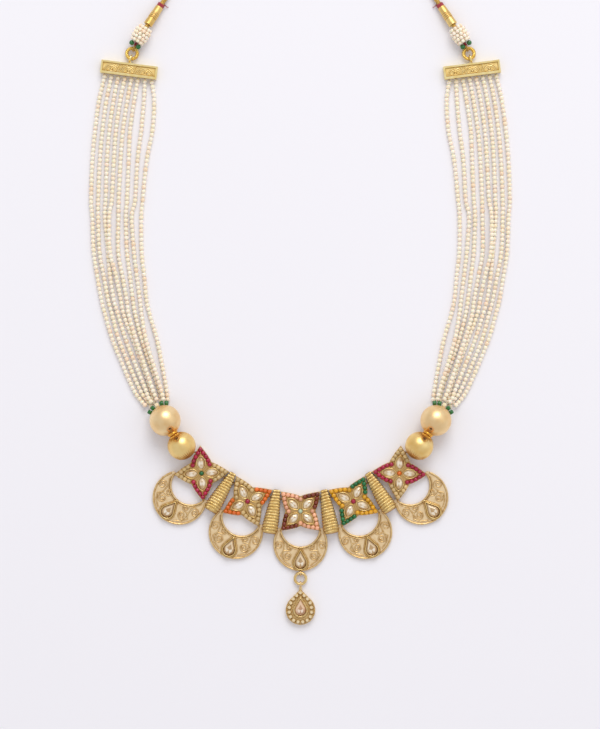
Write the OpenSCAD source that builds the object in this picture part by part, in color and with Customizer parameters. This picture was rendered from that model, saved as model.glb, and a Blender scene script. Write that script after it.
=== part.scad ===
// Kundan necklace laid flat, face up: pearl strands, gold end bars, five pendant units and a pear drop.
// Millimetres. +Y runs from the drop to the nape, z = 0 is the surface that it lies on.

/* [Row of pendants] */
// Radius of the row of flower centres
row_r = 62; // [60:0.5:66]
// Least gap between a petal's tip and a spacer's neck
row_gap = 0.36; // [0.3:0.02:0.6]
// Room that a crescent's edge leaves beside a spacer's axis
crescent_room = 2.4; // [2.2:0.1:3]

/* [Flower] */
// Distance from the flower's centre to a petal's tip
petal_tip = 11.6; // [11.2:0.1:12]
// Distance from the centre to where a petal is widest
petal_root = 4.2; // [4:0.1:4.5]
// Half of a petal's greatest width
petal_half_w = 4.45; // [4.3:0.05:4.7]
// Thickness of the flower
flower_h = 2.6; // [2.4:0.1:3]
// Length of a marquise stone
marquise_l = 5.2; // [5:0.1:5.3]
// Width of a marquise stone
marquise_w = 3.3; // [3:0.1:3.4]
// Distance from the flower's centre to a marquise's middle
marquise_at = 4.3; // [4.25:0.05:4.4]
// Height of a marquise stone
marquise_h = 1.15; // [0.9:0.05:1.5]
// Width of the gold collar round a stone
collar_w = 0.32; // [0.2:0.02:0.4]
// Height of the collar round a marquise
collar_h = 0.7; // [0.4:0.05:0.9]
// Diameter of a small coloured stone
bead_d = 2.02; // [1.8:0.02:2.04]
// Diameter of the coloured stone at the flower's heart
heart_d = 2.1; // [1.9:0.05:2.15]

/* [Crescent] */
// Outer radius of the crescent
crescent_r = 11.4; // [11:0.1:11.6]
// Distance from the flower's centre to the crescent's
crescent_drop = 13.8; // [13.6:0.1:14]
// How much smaller the radius of the round hole that makes the crescent is
hole_less = 3.4; // [3.3:0.1:3.8]
// Distance from the crescent's centre to the hole's
hole_up = 6.85; // [6.7:0.05:7]
// Height above the crescent's centre at which the horns end
horn_up = 6.6; // [6.2:0.1:6.8]
// Thickness of the crescent's plate
plate_h = 1.2; // [1:0.05:1.3]
// Radius of the rim wires
rim_r = 0.38; // [0.3:0.02:0.42]
// Radius of the scroll wires
scroll_r = 0.22; // [0.16:0.02:0.28]
// Radius of the solder pad under each lower petal tip
solder_r = 1.1; // [0.9:0.05:1.2]

/* [Teardrop] */
// Radius of the teardrop stone's round end
tear_r = 2.45; // [2.2:0.05:2.5]
// Distance from the round end's centre to the teardrop's tip
tear_tip = 5; // [4.6:0.1:5.2]
// Width of the low step outside the teardrop's collar
tear_step_w = 0.55; // [0.4:0.05:0.6]
// Height of the teardrop's collar above the plate
tear_collar_h = 1.2; // [0.9:0.05:1.4]
// Height of the teardrop stone
tear_h = 1.6; // [1.2:0.05:1.8]

/* [Spacers] */
// Length of a ribbed spacer
spacer_l = 17.6; // [17:0.1:18]
// Radius at a spacer's neck
spacer_neck_r = 1.37; // [1.3:0.02:1.5]
// Radius at a spacer's outer end
spacer_end_r = 3.45; // [3.3:0.05:3.5]
// Number of ribs on a spacer
spacer_ribs = 14; // [12:1:15]
// Radius of a rib's wire
rib_r = 0.5; // [0.4:0.02:0.55]

/* [Thread] */
// Radius of the stringing thread
thread_r = 0.3; // [0.2:0.02:0.32]
// Radius of the bores that it passes
bore_r = 0.5; // [0.45:0.01:0.55]
// Distance from the row of flower centres in to the thread
thread_in = 4.5; // [4.3:0.1:4.7]
// Height of the thread in the row
thread_z = 1.35; // [1.25:0.05:1.4]

/* [Gold beads] */
// Radius of a large gold bead
large_r = 6.5; // [6.4:0.05:6.6]
// Radius of a small gold bead
small_r = 5.9; // [5.8:0.05:6]
// Angle at which the gold beads' bores rise towards each other
bead_rise = 50; // [46:1:52]
// Outer radius of the rings between the gold beads
ring_r = 2.3; // [2.2:0.05:2.4]
// Radius of the plain ring's wire
ring_wire_r = 0.6; // [0.5:0.02:0.62]
// Radius of the granulated ring's wire
grain_wire_r = 0.4; // [0.35:0.01:0.42]
// Number of grains on the granulated ring
ring_grains = 12; // [10:1:14]
// Diameter of the beads that end the strands
crown_d = 2; // [1.8:0.05:2.05]

/* [Strands] */
// Diameter of a seed pearl strand
pearl_d = 1.9; // [1.7:0.05:1.92]
// Spacing of the strands at the end bar
strand_pitch = 2.8; // [2.7:0.05:2.85]

/* [End bar] */
// Length of the end bar
bar_l = 23.7; // [23.4:0.1:24]
// Width of the end bar
bar_w = 5.4; // [5.2:0.1:5.6]
// Height of the end bar's frame
bar_h = 3.6; // [3.4:0.1:4]
// Depth of the field inside the bar's frame
bar_field = 0.7; // [0.5:0.05:0.8]
// Width of the bar's frame
bar_frame = 0.75; // [0.6:0.05:0.9]
// Width of the frame's edge on the strands' side
bar_sill = 1; // [0.8:0.05:1.1]
// Spacing of the three arches
arch_pitch = 7.2; // [7:0.05:7.25]
// Radius of an arch
arch_r = 3.2; // [3:0.05:3.3]
// Distance from the middle of the necklace to the bar's middle
bar_x = 71.9; // [71:0.1:72.5]
// Distance from the centre flower to the bar's middle
bar_y = 185.1; // [184.8:0.1:185.4]
// Angle by which the bar's inner end lies lower
bar_lean = 7.3; // [6.8:0.1:7.8]

/* [Rings and eyes] */
// Mean radius of the bar's eye
eye_r = 1.35; // [1.3:0.05:1.4]
// Radius of the bar's eye wire
eye_wire_r = 0.4; // [0.3:0.02:0.42]
// Mean radius of the rope ring
rope_ring_r = 2.2; // [2.15:0.05:2.3]
// Radius of the rope ring's wire
rope_wire_r = 0.75; // [0.65:0.02:0.77]
// Angle by which the rope ring leads from its eye towards the barrel
ring_lean = 17; // [14:1:20]
// Height of the rope ring and the eye
rope_z = 1.8; // [1.78:0.02:2]
// Mean radius of the lug and of the drop's eye
lug_r = 1; // [0.95:0.01:1.05]
// Radius of the lug's wire
lug_wire_r = 0.35; // [0.3:0.01:0.37]
// Mean radius of the jump ring
jump_r = 2.33; // [2.25:0.02:2.5]
// Radius of the jump ring's wire
jump_wire_r = 0.5; // [0.4:0.02:0.52]
// Gap between the crescent's edge and the jump ring's wire
jump_gap = 0.3; // [0.2:0.05:0.4]
// Height of the jump ring, lug and drop's eye
jump_z = 1.4; // [1.4:0.02:1.6]

/* [Cord ends] */
// Radius of the pearl barrel
barrel_r = 3.7; // [3.5:0.05:3.9]
// Length of the pearl barrel
barrel_l = 7.8; // [7.4:0.1:8]
// Height of the barrel's bore
barrel_z = 3.7; // [3.7:0.05:4]
// Distance between the barrel and the gold tube
tube_gap = 1; // [0.8:0.1:1.2]
// Diameter of the green beads beside the barrel
green_d = 2.1; // [1.9:0.05:2.15]
// Length of the gold tube
tube_l = 9.1; // [8.8:0.1:9.3]
// Radius of the gold tube's mouth at the barrel
tube_mouth_r = 1.98; // [1.9:0.02:2.1]
// Radius of the gold tube at the thread wrap
tube_tip_r = 1.5; // [1.45:0.01:1.6]
// Radius of the bore for the cord
cord_bore_r = 1.28; // [1.2:0.01:1.3]

/* [Cord] */
// Radius of the cord
cord_r = 1.05; // [0.9:0.01:1.1]
// Radius of the slider
slider_r = 2.4; // [2.2:0.05:2.6]
// Length of the slider
slider_l = 6; // [5:0.2:8]

/* [Drop] */
// Radius of the pear drop's round end
drop_r = 6.17; // [6.1:0.05:6.3]
// Length of the pear drop without its eye
drop_l = 14.9; // [14.8:0.1:15.1]
// Thickness of the pear drop
drop_h = 2.1; // [1.8:0.1:2.5]
// Radius of the drop stone's round end
drop_stone_r = 2.35; // [2.1:0.05:2.4]
// Distance from the round end's centre to the drop stone's tip
drop_stone_tip = 4.7; // [4.5:0.1:4.8]
// Height of the drop stone
drop_stone_h = 1.9; // [1.5:0.1:2.1]
// Diameter of a pave stone
pave_d = 1.85; // [1.6:0.05:1.9]
// Length of the neck between the drop and its eye
neck_l = 1.1; // [1:0.05:1.3]

/* [Hidden] */
units = 5;

gap = 0.1;
seat = 0.05;
sink = 0.3; // depth to which what is soldered on is sunk
past = 1; // length by which a cut runs past what it cuts
gold = "goldenrod";

// Numbers that the strands' and cord's routes go with
end_lean = 32.9;
tube_fall = 9.5;
cord_tip_at = [-59.1, 211.4];
strand_large_at = [-56.6, 38.1, 6.5];
strand_bend_y = [46.8, 123.9];

// Route of each strand of the left side, from the bar to the crown, measured from the centre flower:
// a row holds y, then the distance of strands 1 to 8 from the middle, then their heights
strand_rows = [
    [172.6, [84.5, 81.4, 78.4, 75.6, 72.6, 69.7, 65.7, 61.4], [0, 0, 0, 0, 0, 0, 0, 0]],
    [160.0, [86.2, 83.1, 80.2, 77.4, 74.5, 71.5, 66.8, 62.1], [0, 0, 0, 0, 0, 0, 0, 0]],
    [147.4, [87.3, 84.2, 81.2, 78.3, 75.5, 72.1, 68.4, 64.5], [0, 0, 0, 0, 0, 0, 0, 0]],
    [130.6, [87.9, 84.9, 81.8, 79.2, 76.3, 72.8, 69.4, 66.2], [0, 0, 0, 0, 0, 0, 0, 0]],
    [123.9, [87.4, 84.9, 82.1, 80.2, 76.4, 73.3, 70.8, 66.8], [0, 0, 0, 1.1, 0, 0, 0, 0]],
    [109.2, [86.8, 84.4, 80.8, 79.9, 76.5, 72.8, 69.9, 66.7], [0, 0, 0, 2, 0, 0, 0, 0]],
    [98.9, [85.3, 82.6, 79.9, 77.4, 74.8, 71.6, 68.7, 65.6], [0, 0, 0.3, 1.1, 0, 0, 0, 0]],
    [88.6, [83.5, 80.7, 78.3, 75.4, 72.9, 70.3, 67.4, 64.6], [0, 0, 0.6, 0, 0, 0, 0, 0]],
    [81.9, [81.8, 78.9, 76.4, 74.0, 71.9, 69.2, 66.6, 63.1], [0, 0, 0, 0, 0.9, 0, 0.1, 0]],
    [70.6, [78.4, 75.7, 72.8, 69.8, 68.5, 66.2, 64.4, 59.9], [0, 0, 0, 0, 1.8, 0, 1.4, 0]],
    [52.1, [70.6, 67.9, 65.4, 63.2, 62.3, 59.7, 58.8, 56.4], [0, 0, 0.9, 0, 1.9, 0, 2, 0]],
    [46.8, [67.3, 64.6, 63.4, 62.1, 60.3, 58.6, 57.5, 55.8], [0, 0, 1.8, 0, 1.8, 0, 1.8, 0]]];
strand_ends = [
    [64.6, 43.9, 2.3], [62.3, 43.3, 1], [61.9, 45.5, 2.95], [60.9, 45, 0.95],
    [60, 46.4, 2.8], [58.2, 45.7, 0.97], [57.3, 46.8, 2.8], [55.6, 46, 1.1]];

// Route of the cord's left half, from inside the barrel to the slider, measured from the centre flower
cord_points = [
    [-67.4, 198.6, 3.7], [-64.6, 202.9, 3.65], [-63.9, 204, 3.25], [-61.5, 207.6, 2.5],
    [-59.1, 211.4, 1.75],
    [-55.5, 216.6, 1.2], [-50, 222.8, 1.05], [-43, 229, 1.05], [-35, 234.4, 1.05],
    [-26, 238.7, 1.05], [-17, 241.6, 1.05], [-9, 243.1, 1.6], [-4.5, 243.6, 2.4], [0, 243.6, 2.4]];

// Angle between neighbouring units, as wide as petals, crescents and spacers need
tip_x = petal_tip * sin(45);
tip_reach = norm([tip_x, row_r - tip_x]);
half_step = max(
    atan(tip_x / (row_r - tip_x)) + asin((spacer_neck_r + row_gap) / tip_reach),
    asin((crescent_r + crescent_room) / (row_r + crescent_drop)));
unit_step = 2 * half_step;
string_r = row_r - thread_in;
spacer_in = tip_x - gap;
hole_r = crescent_r - hole_less;
tear_down = crescent_r - tear_r - gap - collar_w - tear_step_w - 0.3 * gap;

// Places of the gold beads, the small one beside the last unit's upper petal
function in_row(turn, p) = [p[0] * cos(turn) - (p[1] - row_r) * sin(turn),
    row_r + p[0] * sin(turn) + (p[1] - row_r) * cos(turn)];
small_tuck = 0.22;
small_up = 3.11;
link_gap = 0.248;
link_lean = 56.94;
small_plan = in_row(-half_step * (units - 1), [small_tuck - tip_x - small_r, small_up]);
small_at = [small_plan[0], small_plan[1], small_r];
large_at = [small_at[0], small_at[1], large_r]
    + (small_r + large_r + link_gap) * [-cos(link_lean), sin(link_lean), 0];

// Place of the gold tube's thin end, measured from the bar, and the cord's points that go with it
tube_in = 12.8;
tube_up = 26.3;
tube_z = 1.75;
tube_tip_at = [tube_in - bar_x, bar_y + tube_up, tube_z];
cord_route = [for (p = cord_points) [
    p[0] > cord_tip_at[0] ? p[0] * tube_tip_at[0] / cord_tip_at[0] : p[0] + tube_tip_at[0] - cord_tip_at[0],
    p[1] + tube_tip_at[1] - cord_tip_at[1], p[2]]];

// Direction from the large to the small gold bead, and the bores' direction
link = (small_at - large_at) - [0, 0, small_r - large_r];
link_l = norm(link);
link_dir = link / link_l;
link_angle = atan2(link_dir[1], link_dir[0]);

lug_y = -crescent_drop - crescent_r - jump_wire_r - jump_gap;
jump_y = lug_y - jump_r;
drop_eye_at = [0, jump_y - jump_r, jump_z];
drop_at = [0, drop_eye_at[1] - lug_r - neck_l - drop_l + drop_r, 0];

// Middle of the necklace's length, which the origin lies under
origin_y = -(tube_tip_at[1] + tube_tip_r * sin(end_lean) + drop_at[1] - drop_r) / 2;

// Points of a smooth line through the points p, about one step apart: it bends in plan, and its
// height eases from point to point
function between(p, i, t) =
    let (a = p[max(i - 1, 0)], b = p[i], c = p[i + 1], d = p[min(i + 2, len(p) - 1)],
        q = (2 * b + (c - a) * t + (2 * a - 5 * b + 4 * c - d) * t * t
            + (3 * b - a - 3 * c + d) * t * t * t) / 2)
    [q[0], q[1], b[2] + (c[2] - b[2]) * (3 - 2 * t) * t * t];
function smooth(p, step) = concat(
    [for (i = [0:len(p) - 2])
        let (n = max(1, ceil(norm(p[i + 1] - p[i]) / step)))
        for (k = [0:n - 1]) between(p, i, k / n)],
    [p[len(p) - 1]]);

function unit(v) = v / norm(v);
function flip(p) = [for (i = [len(p) - 1:-1:0]) [-p[i][0], p[i][1], p[i][2]]];

// Rings of a round tube of radius r along the points p
function tube_rings(p, r, sides) = [for (i = [0:len(p) - 1])
    let (way = unit(p[min(i + 1, len(p) - 1)] - p[max(i - 1, 0)]),
        across = unit(cross(way, [0, 0, 1])), over = cross(across, way))
    [for (k = [0:sides - 1]) let (a = 360 * k / sides)
        p[i] + r * (cos(a) * across - sin(a) * over)]];

// Closed solid through rings that have as many points each
module skin(rings) {
    n = len(rings[0]);
    last = len(rings) - 1;
    polyhedron([for (ring = rings) each ring], concat(
        [[for (j = [0:n - 1]) j]],
        [for (i = [0:last - 1]) for (j = [0:n - 1])
            [i * n + j, (i + 1) * n + j, (i + 1) * n + (j + 1) % n, i * n + (j + 1) % n]],
        [[for (j = [n - 1:-1:0]) last * n + j]]));
}

// Outline of a marquise of length l and width w, six points to a side
function marquise_points(l, w) =
    let (r = (l * l + w * w) / 4 / w, c = r - w / 2, a = asin(l / 2 / r))
    concat([for (k = [0:4]) r * [sin(a - a * k / 2.5), cos(a - a * k / 2.5)] - [0, c]],
        [for (k = [0:4]) -r * [sin(a - a * k / 2.5), cos(a - a * k / 2.5)] + [0, c]]);

// Outline of a pear with its round end at the origin and its tip up
function pear_points(r, tip) =
    let (a = acos(r / tip))
    concat([[0, tip]], [for (k = [0:12]) let (b = 90 + a + (360 - 2 * a) * k / 12) r * [cos(b), sin(b)]]);

// Cut stone over an outline: bottom, girdle, crown facets and table
module cut_stone(outline, h) {
    levels = [[0.8, 0], [1, 0.3], [0.98, 0.45], [0.6, 1]];
    skin([for (level = levels) [for (p = outline) [p[0] * level[0], p[1] * level[0], h * level[1]]]]);
}

// Exact prisms over the same outlines, grown outwards by edge
module marquise(l, w, edge, h) {
    r = (l * l + w * w) / 4 / w;
    intersection() {
        translate([0, w / 2 - r, 0]) cylinder(r = r + edge, h = h, $fn = 64);
        translate([0, r - w / 2, 0]) cylinder(r = r + edge, h = h, $fn = 64);
    }
}

module pear(r, tip, edge, h) {
    reach = tip + edge * tip / r;
    grown = r + edge;
    a = acos(grown / reach);
    cylinder(r = grown, h = h, $fn = 64);
    linear_extrude(h) polygon([[0, reach], grown * [-sin(a), cos(a)], grown * [sin(a), cos(a)]]);
}

module torus(mean, wire, from = 0, span = 360) {
    rotate([0, 0, from]) rotate_extrude(angle = span, $fn = 64) translate([mean, 0]) circle(wire, $fn = 24);
}

module rod(from, to, r) {
    run = to - from;
    translate(from) rotate([0, acos(run[2] / norm(run)), atan2(run[1], run[0])])
        cylinder(r = r, h = norm(run), $fn = 24);
}

module on_bed() {
    translate([0, origin_y, 0]) children();
}

module sided(side) {
    if (side == "left") children();
    else mirror([1, 0, 0]) children();
}

// Place on the row, turned so that -y points outwards
module on_row(turn) {
    translate([0, row_r, 0]) rotate([0, 0, turn]) translate([0, -row_r, 0]) children();
}

function unit_turn(i) = (i - (units + 1) / 2) * unit_step;

module string_bore() {
    translate([0, row_r, thread_z]) torus(string_r, bore_r);
}

// Small stones round one petal, as distances along and across it
petal_stones = [[10, 0], [7.75, 1.66], [7.75, -1.66], [5.6, 2.95], [5.6, -2.95]];
waist_stones = [[3.5, 3.55], [3.5, -3.55]];

module petals() {
    for (turn = [45:90:315]) rotate([0, 0, turn]) children();
}

// Power with which a petal's half width falls from its root to nothing at its tip
petal_bend = 1.25;

module petal_plate() {
    flank = [for (k = [0:10]) let (t = k / 10)
        [petal_root + (petal_tip - petal_root) * t, petal_half_w * (1 - pow(t, petal_bend))]];
    linear_extrude(flower_h)
        polygon(concat([[0, 0]], [for (k = [0:9]) [flank[k][0], -flank[k][1]]],
            [for (k = [10:-1:0]) flank[k]]));
}

module flower() {
    petals() petal_plate();
    petals() translate([marquise_at, 0, flower_h - sink]) difference() {
        marquise(marquise_l, marquise_w, gap + collar_w, collar_h + sink);
        translate([0, 0, sink]) marquise(marquise_l, marquise_w, gap, collar_h + past);
    }
}

// Curl of three half turns that tighten, from its start left of the middle of its first turn
module curl(r, from) {
    second = 0.72 * r;
    third = 0.46 * r;
    rotate([0, 0, from]) {
        torus(r, scroll_r, 0, 180);
        translate([r - second, 0, 0]) torus(second, scroll_r, 180, 180);
        translate([r - 2 * second + third, 0, 0]) torus(third, scroll_r, 0, 180);
        translate([r - 2 * second + 2 * third, 0, 0]) sphere(scroll_r * 1.7, $fn = 24);
    }
}

// Wire through points on the plate, with a small ball at each joint
module wire(p) {
    for (i = [0:len(p) - 2]) rod(p[i], p[i + 1], scroll_r);
    for (at = p) translate(at) sphere(scroll_r * 1.2, $fn = 24);
}

// Relief of the crescent's right half, its numbers those of a crescent of radius scroll_crescent_r
scroll_crescent_r = 11.4;

module scrolls() {
    size = crescent_r / scroll_crescent_r;
    upper = size * [8.7, -0.6, 0];
    inner = size * [4.9, -1.6, 0];
    lower = size * [5.7, -5, 0];
    joint = size * [7.1, -2.85, 0];
    upper_r = size * 1.75;
    inner_r = size * 1.25;
    lower_r = size * 1.6;
    translate(upper) curl(upper_r, 0);
    translate(lower) curl(lower_r, 180);
    translate(inner) curl(inner_r, 90);
    wire([upper - [upper_r, 0, 0], joint, lower + [lower_r, 0, 0]]);
    wire([inner - [0, inner_r, 0], joint, size * [8.4, -4.7, 0], size * [7, -7, 0], size * [4.3, -8.9, 0]]);
}

module crescent() {
    difference() {
        union() {
            difference() {
                cylinder(r = crescent_r, h = plate_h, $fn = 96);
                translate([-crescent_r, horn_up, -past])
                    cube([2 * crescent_r, crescent_r, plate_h + 2 * past]);
            }
            for (side = [-1, 1]) translate([side * tip_x, crescent_drop - tip_x, 0])
                cylinder(r = solder_r, h = plate_h, $fn = 32);
        }
        translate([0, hole_up, -past]) cylinder(r = hole_r, h = plate_h + 2 * past, $fn = 96);
    }
    translate([0, 0, plate_h]) {
        rim_from = asin((horn_up - 1) / crescent_r);
        torus(crescent_r - rim_r, rim_r, 180 - rim_from, 180 + 2 * rim_from);
        hole_from = asin((hole_up - horn_up + 1) / (hole_r + rim_r));
        translate([0, hole_up, 0]) {
            torus(hole_r + rim_r, rim_r, 180 + hole_from, 180 - 2 * hole_from);
            torus(hole_r + 3 * rim_r, scroll_r, 180 + 2 * hole_from, 180 - 4 * hole_from);
        }
        scrolls();
        mirror([1, 0, 0]) scrolls();
    }
    translate([0, -tear_down, plate_h / 2]) difference() {
        union() {
            pear(tear_r, tear_tip, gap + collar_w, plate_h / 2 + tear_collar_h);
            pear(tear_r, tear_tip, gap + collar_w + tear_step_w, plate_h / 2 + tear_collar_h / 2);
        }
        translate([0, 0, plate_h / 2]) pear(tear_r, tear_tip, gap, tear_collar_h + past);
    }
}

// Upright eye, its wire's circle across x
module eye(mean, wire_r) {
    rotate([0, 90, 0]) rotate_extrude($fn = 64) translate([mean, 0]) circle(wire_r, $fn = 24);
}

module pendant(i) {
    color(gold) difference() {
        on_row(unit_turn(i)) {
            flower();
            translate([0, -crescent_drop, 0]) crescent();
            if (2 * i == units + 1) translate([0, lug_y, jump_z]) eye(lug_r, lug_wire_r);
        }
        string_bore();
    }
}

module kundan_stones(i) {
    color("wheat") on_row(unit_turn(i)) {
        petals() translate([marquise_at, 0, flower_h + seat])
            cut_stone(marquise_points(marquise_l, marquise_w), marquise_h);
        translate([0, -crescent_drop - tear_down, plate_h + seat])
            cut_stone(pear_points(tear_r, tear_tip), tear_h);
    }
}

module half_ball(r) {
    intersection() {
        sphere(r, $fn = 32);
        translate([-r, -r, 0]) cube([2 * r, 2 * r, r]);
    }
}

module colour_beads(i) {
    color(["crimson", "chocolate", "lightsalmon", "darkgreen", "crimson"][(i - 1) % 5])
        on_row(unit_turn(i)) translate([0, 0, flower_h + seat]) {
            petals() for (at = petal_stones) translate(at) half_ball(bead_d / 2);
            for (turn = [135, 315]) rotate([0, 0, turn])
                for (at = waist_stones) translate(at) half_ball(bead_d / 2);
            half_ball(heart_d / 2);
        }
}

// Radius of a spacer at a share of its length, swelling soon after the neck, and its axis's height
spacer_swell = 1.8;
function spacer_r(share) = spacer_end_r - (spacer_end_r - spacer_neck_r) * pow(1 - share, spacer_swell);
spacer_z = max([for (share = [0:0.02:1])
    spacer_r(share) - (spacer_end_r - spacer_neck_r) * share]);

// Ribbed cone that lies on its side, its neck towards the middle of the necklace
module ribbed_spacer(i) {
    slope = asin((spacer_end_r - spacer_neck_r) / spacer_l);
    pitch = spacer_l / spacer_ribs;
    core = rib_r * 0.6;
    color(gold) difference() {
        on_row(unit_turn(i) + half_step) translate([0, spacer_in, spacer_z / cos(slope) + seat])
            rotate([90 - slope, 0, 0]) {
                rotate_extrude($fn = 64) polygon(concat([[0, 0]],
                    [for (k = [0:spacer_ribs]) [spacer_r(k / spacer_ribs) - core, k * pitch]],
                    [[0, spacer_l]]));
                for (k = [0:spacer_ribs - 1]) translate([0, 0, (k + 0.5) * pitch])
                    torus(spacer_r((k + 0.5) / spacer_ribs) - rib_r, rib_r);
            }
        string_bore();
    }
}

// Gold bead drilled along a bore that rises by rise towards the other bead
module gold_bead(at, r, turn) {
    color("gold") translate(at) difference() {
        sphere(r, $fn = 96);
        rotate([0, 0, turn]) rotate([0, 90 - bead_rise, 0])
            cylinder(r = bore_r, h = 3 * r, center = true, $fn = 32);
    }
}

module large_gold_bead() {
    gold_bead(large_at, large_r, link_angle);
}

module small_gold_bead() {
    gold_bead(small_at, small_r, link_angle + 180);
}

// Places of the two rings along the link and their height, and a grain's place and radius
plain_u = large_r - gap;
grain_u = plain_u + ring_wire_r + 1.3 * gap + grain_wire_r;
ring_z = 12;
grain_out = 0.25;
grain_r = 0.85 * grain_wire_r;

function along_link(u, z) = [large_at[0], large_at[1], z] + u * link_dir;

// Rings that stand upright in the crevice between the two balls
module spacer_rings() {
    color("gold") {
        translate(along_link(plain_u, ring_z)) rotate([0, 0, link_angle])
            eye(ring_r - ring_wire_r, ring_wire_r);
        translate(along_link(grain_u, ring_z)) rotate([0, 0, link_angle]) {
            eye(ring_r - ring_wire_r, grain_wire_r);
            for (k = [0:ring_grains - 1]) rotate([k * 360 / ring_grains, 0, 0])
                translate([0, 0, ring_r - ring_wire_r + grain_out]) sphere(grain_r, $fn = 24);
        }
    }
}

// Beads that end the strands on the large ball: angle from the bore and distance in plan
crown_places = [[29, 7.3], [12.5, 7.3], [-4, 7.3], [-20.5, 7.3], [-37, 7.3]];

module bead_crown() {
    color("darkgreen") for (place = crown_places) {
        angle = link_angle + 180 + place[0];
        fall = sqrt(pow(large_r + crown_d / 2 + gap, 2) - place[1] * place[1]);
        translate(large_at + [place[1] * cos(angle), place[1] * sin(angle), -fall])
            sphere(crown_d / 2, $fn = 32);
    }
}

// Route of the thread: from the large bead's outer mouth by the rings to the row, then round it
large_axis = [link_dir[0] * cos(bead_rise), link_dir[1] * cos(bead_rise), sin(bead_rise)];
small_axis = [link_dir[0] * cos(bead_rise), link_dir[1] * cos(bead_rise), -sin(bead_rise)];
row_end = half_step * (units - 1) + asin((tip_x - 0.5) / string_r);
thread_side = [large_at - (large_r - 0.3) * large_axis, large_at + (large_r + 0.3) * large_axis,
    along_link(plain_u - ring_wire_r, ring_z - 0.45), along_link(grain_u + grain_wire_r, ring_z - 0.5),
    small_at - (small_r + 0.3) * small_axis, small_at + (small_r + 0.35) * small_axis];
thread_steps = 32;

module stringing_thread() {
    row = [for (k = [0:thread_steps]) let (a = row_end * (2 * k / thread_steps - 1))
        [string_r * sin(a), row_r - string_r * cos(a), thread_z]];
    color("ivory") skin(tube_rings(concat(thread_side, row, flip(thread_side)), thread_r, 6));
}

// How far the strands' lower ends shift with the large bead, easing to nothing higher up
strand_shift = [large_at[0] - strand_large_at[0], large_at[1] - strand_large_at[1], 0];
function shift_share(y) =
    pow(max(0, min(1, (strand_bend_y[1] - y) / (strand_bend_y[1] - strand_bend_y[0]))), 2);

// Strand i of the left side, outermost first
module pearl_strand(i) {
    start = bar_edge([(i - 4.5) * strand_pitch, -bar_w / 2 - 4 * gap, pearl_d / 2]);
    route = concat([start],
        [for (row = strand_rows) [-row[1][i - 1], row[0], pearl_d / 2 + row[2][i - 1]]
            + shift_share(row[0]) * strand_shift],
        [[-strand_ends[i - 1][0], strand_ends[i - 1][1], strand_ends[i - 1][2]] + strand_shift]);
    color("linen") skin(tube_rings(smooth(route, 2.6 * pearl_d), pearl_d / 2, 8));
}

// Point of the bar, as distances along and across it, in the necklace's own directions
function bar_edge(p) = [-bar_x + p[0] * cos(bar_lean) + p[1] * sin(bar_lean),
    bar_y - p[0] * sin(bar_lean) + p[1] * cos(bar_lean), p[2]];

// Cast bar, its near edge towards the strands, with three arches raised in its field
module end_bar() {
    field_z = bar_h - bar_field;
    base_y = bar_sill - bar_w / 2;
    top_y = bar_w / 2 - bar_frame;
    wire_r = scroll_r;
    petal_y = 1.15; // height of the rosette inside an arch
    stem_r = 0.6;
    color(gold) translate([-bar_x, bar_y, 0]) rotate([0, 0, -bar_lean]) {
        difference() {
            translate([-bar_l / 2, -bar_w / 2, 0]) cube([bar_l, bar_w, bar_h]);
            translate([bar_frame - bar_l / 2, base_y, field_z])
                cube([bar_l - 2 * bar_frame, top_y - base_y, bar_h]);
        }
        for (k = [-1:1]) translate([k * arch_pitch, base_y - 0.1, field_z]) {
            torus(arch_r, wire_r, 0, 180);
            torus(0.78 * arch_r, wire_r, 0, 180);
            translate([0, petal_y, 0]) {
                torus(arch_r / 4, wire_r);
                sphere(2 * wire_r, $fn = 24);
            }
            for (side = [-1, 1]) translate([side * arch_r / 2, petal_y / 2, 0])
                sphere(1.4 * wire_r, $fn = 24);
        }
        for (k = [-1, 1]) translate([k * arch_pitch / 2, 0, field_z]) {
            translate([0, top_y - 2.5 * wire_r, 0]) sphere(1.6 * wire_r, $fn = 24);
            for (side = [-1, 1]) rod([0, -stem_r, 0], [side * 0.4 * arch_r, top_y, 0], wire_r);
        }
        translate([0, bar_w / 2 + stem_l, rope_z]) rotate([90, 0, 0])
            cylinder(r = stem_r, h = stem_l + sink, $fn = 32);
        translate([0, bar_w / 2 + eye_gap, rope_z]) rotate([0, 0, bar_lean - ring_lean])
            eye(eye_r, eye_wire_r);
    }
}

// Distance from the bar's far edge to its eye's middle, and the rope ring through that eye
stem_l = 0.7;
eye_gap = eye_r + stem_l;
eye_at = bar_edge([0, bar_w / 2 + eye_gap, rope_z]);
rope_at = eye_at + rope_ring_r * [sin(ring_lean), cos(ring_lean), 0];

module rope_ring() {
    color(gold) translate(rope_at) torus(rope_ring_r, rope_wire_r);
}

// Directions and places of what is threaded on the cord's end
end_dir = [sin(end_lean), cos(end_lean), 0];
barrel_at = [tube_tip_at[0], tube_tip_at[1], barrel_z]
    - (tube_l + tube_gap + barrel_l / 2) * end_dir;
barrel_mouth = 0.72; // share of the barrel's radius at its ends
barrel_full = 0.55; // share of its length that has the whole radius

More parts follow.
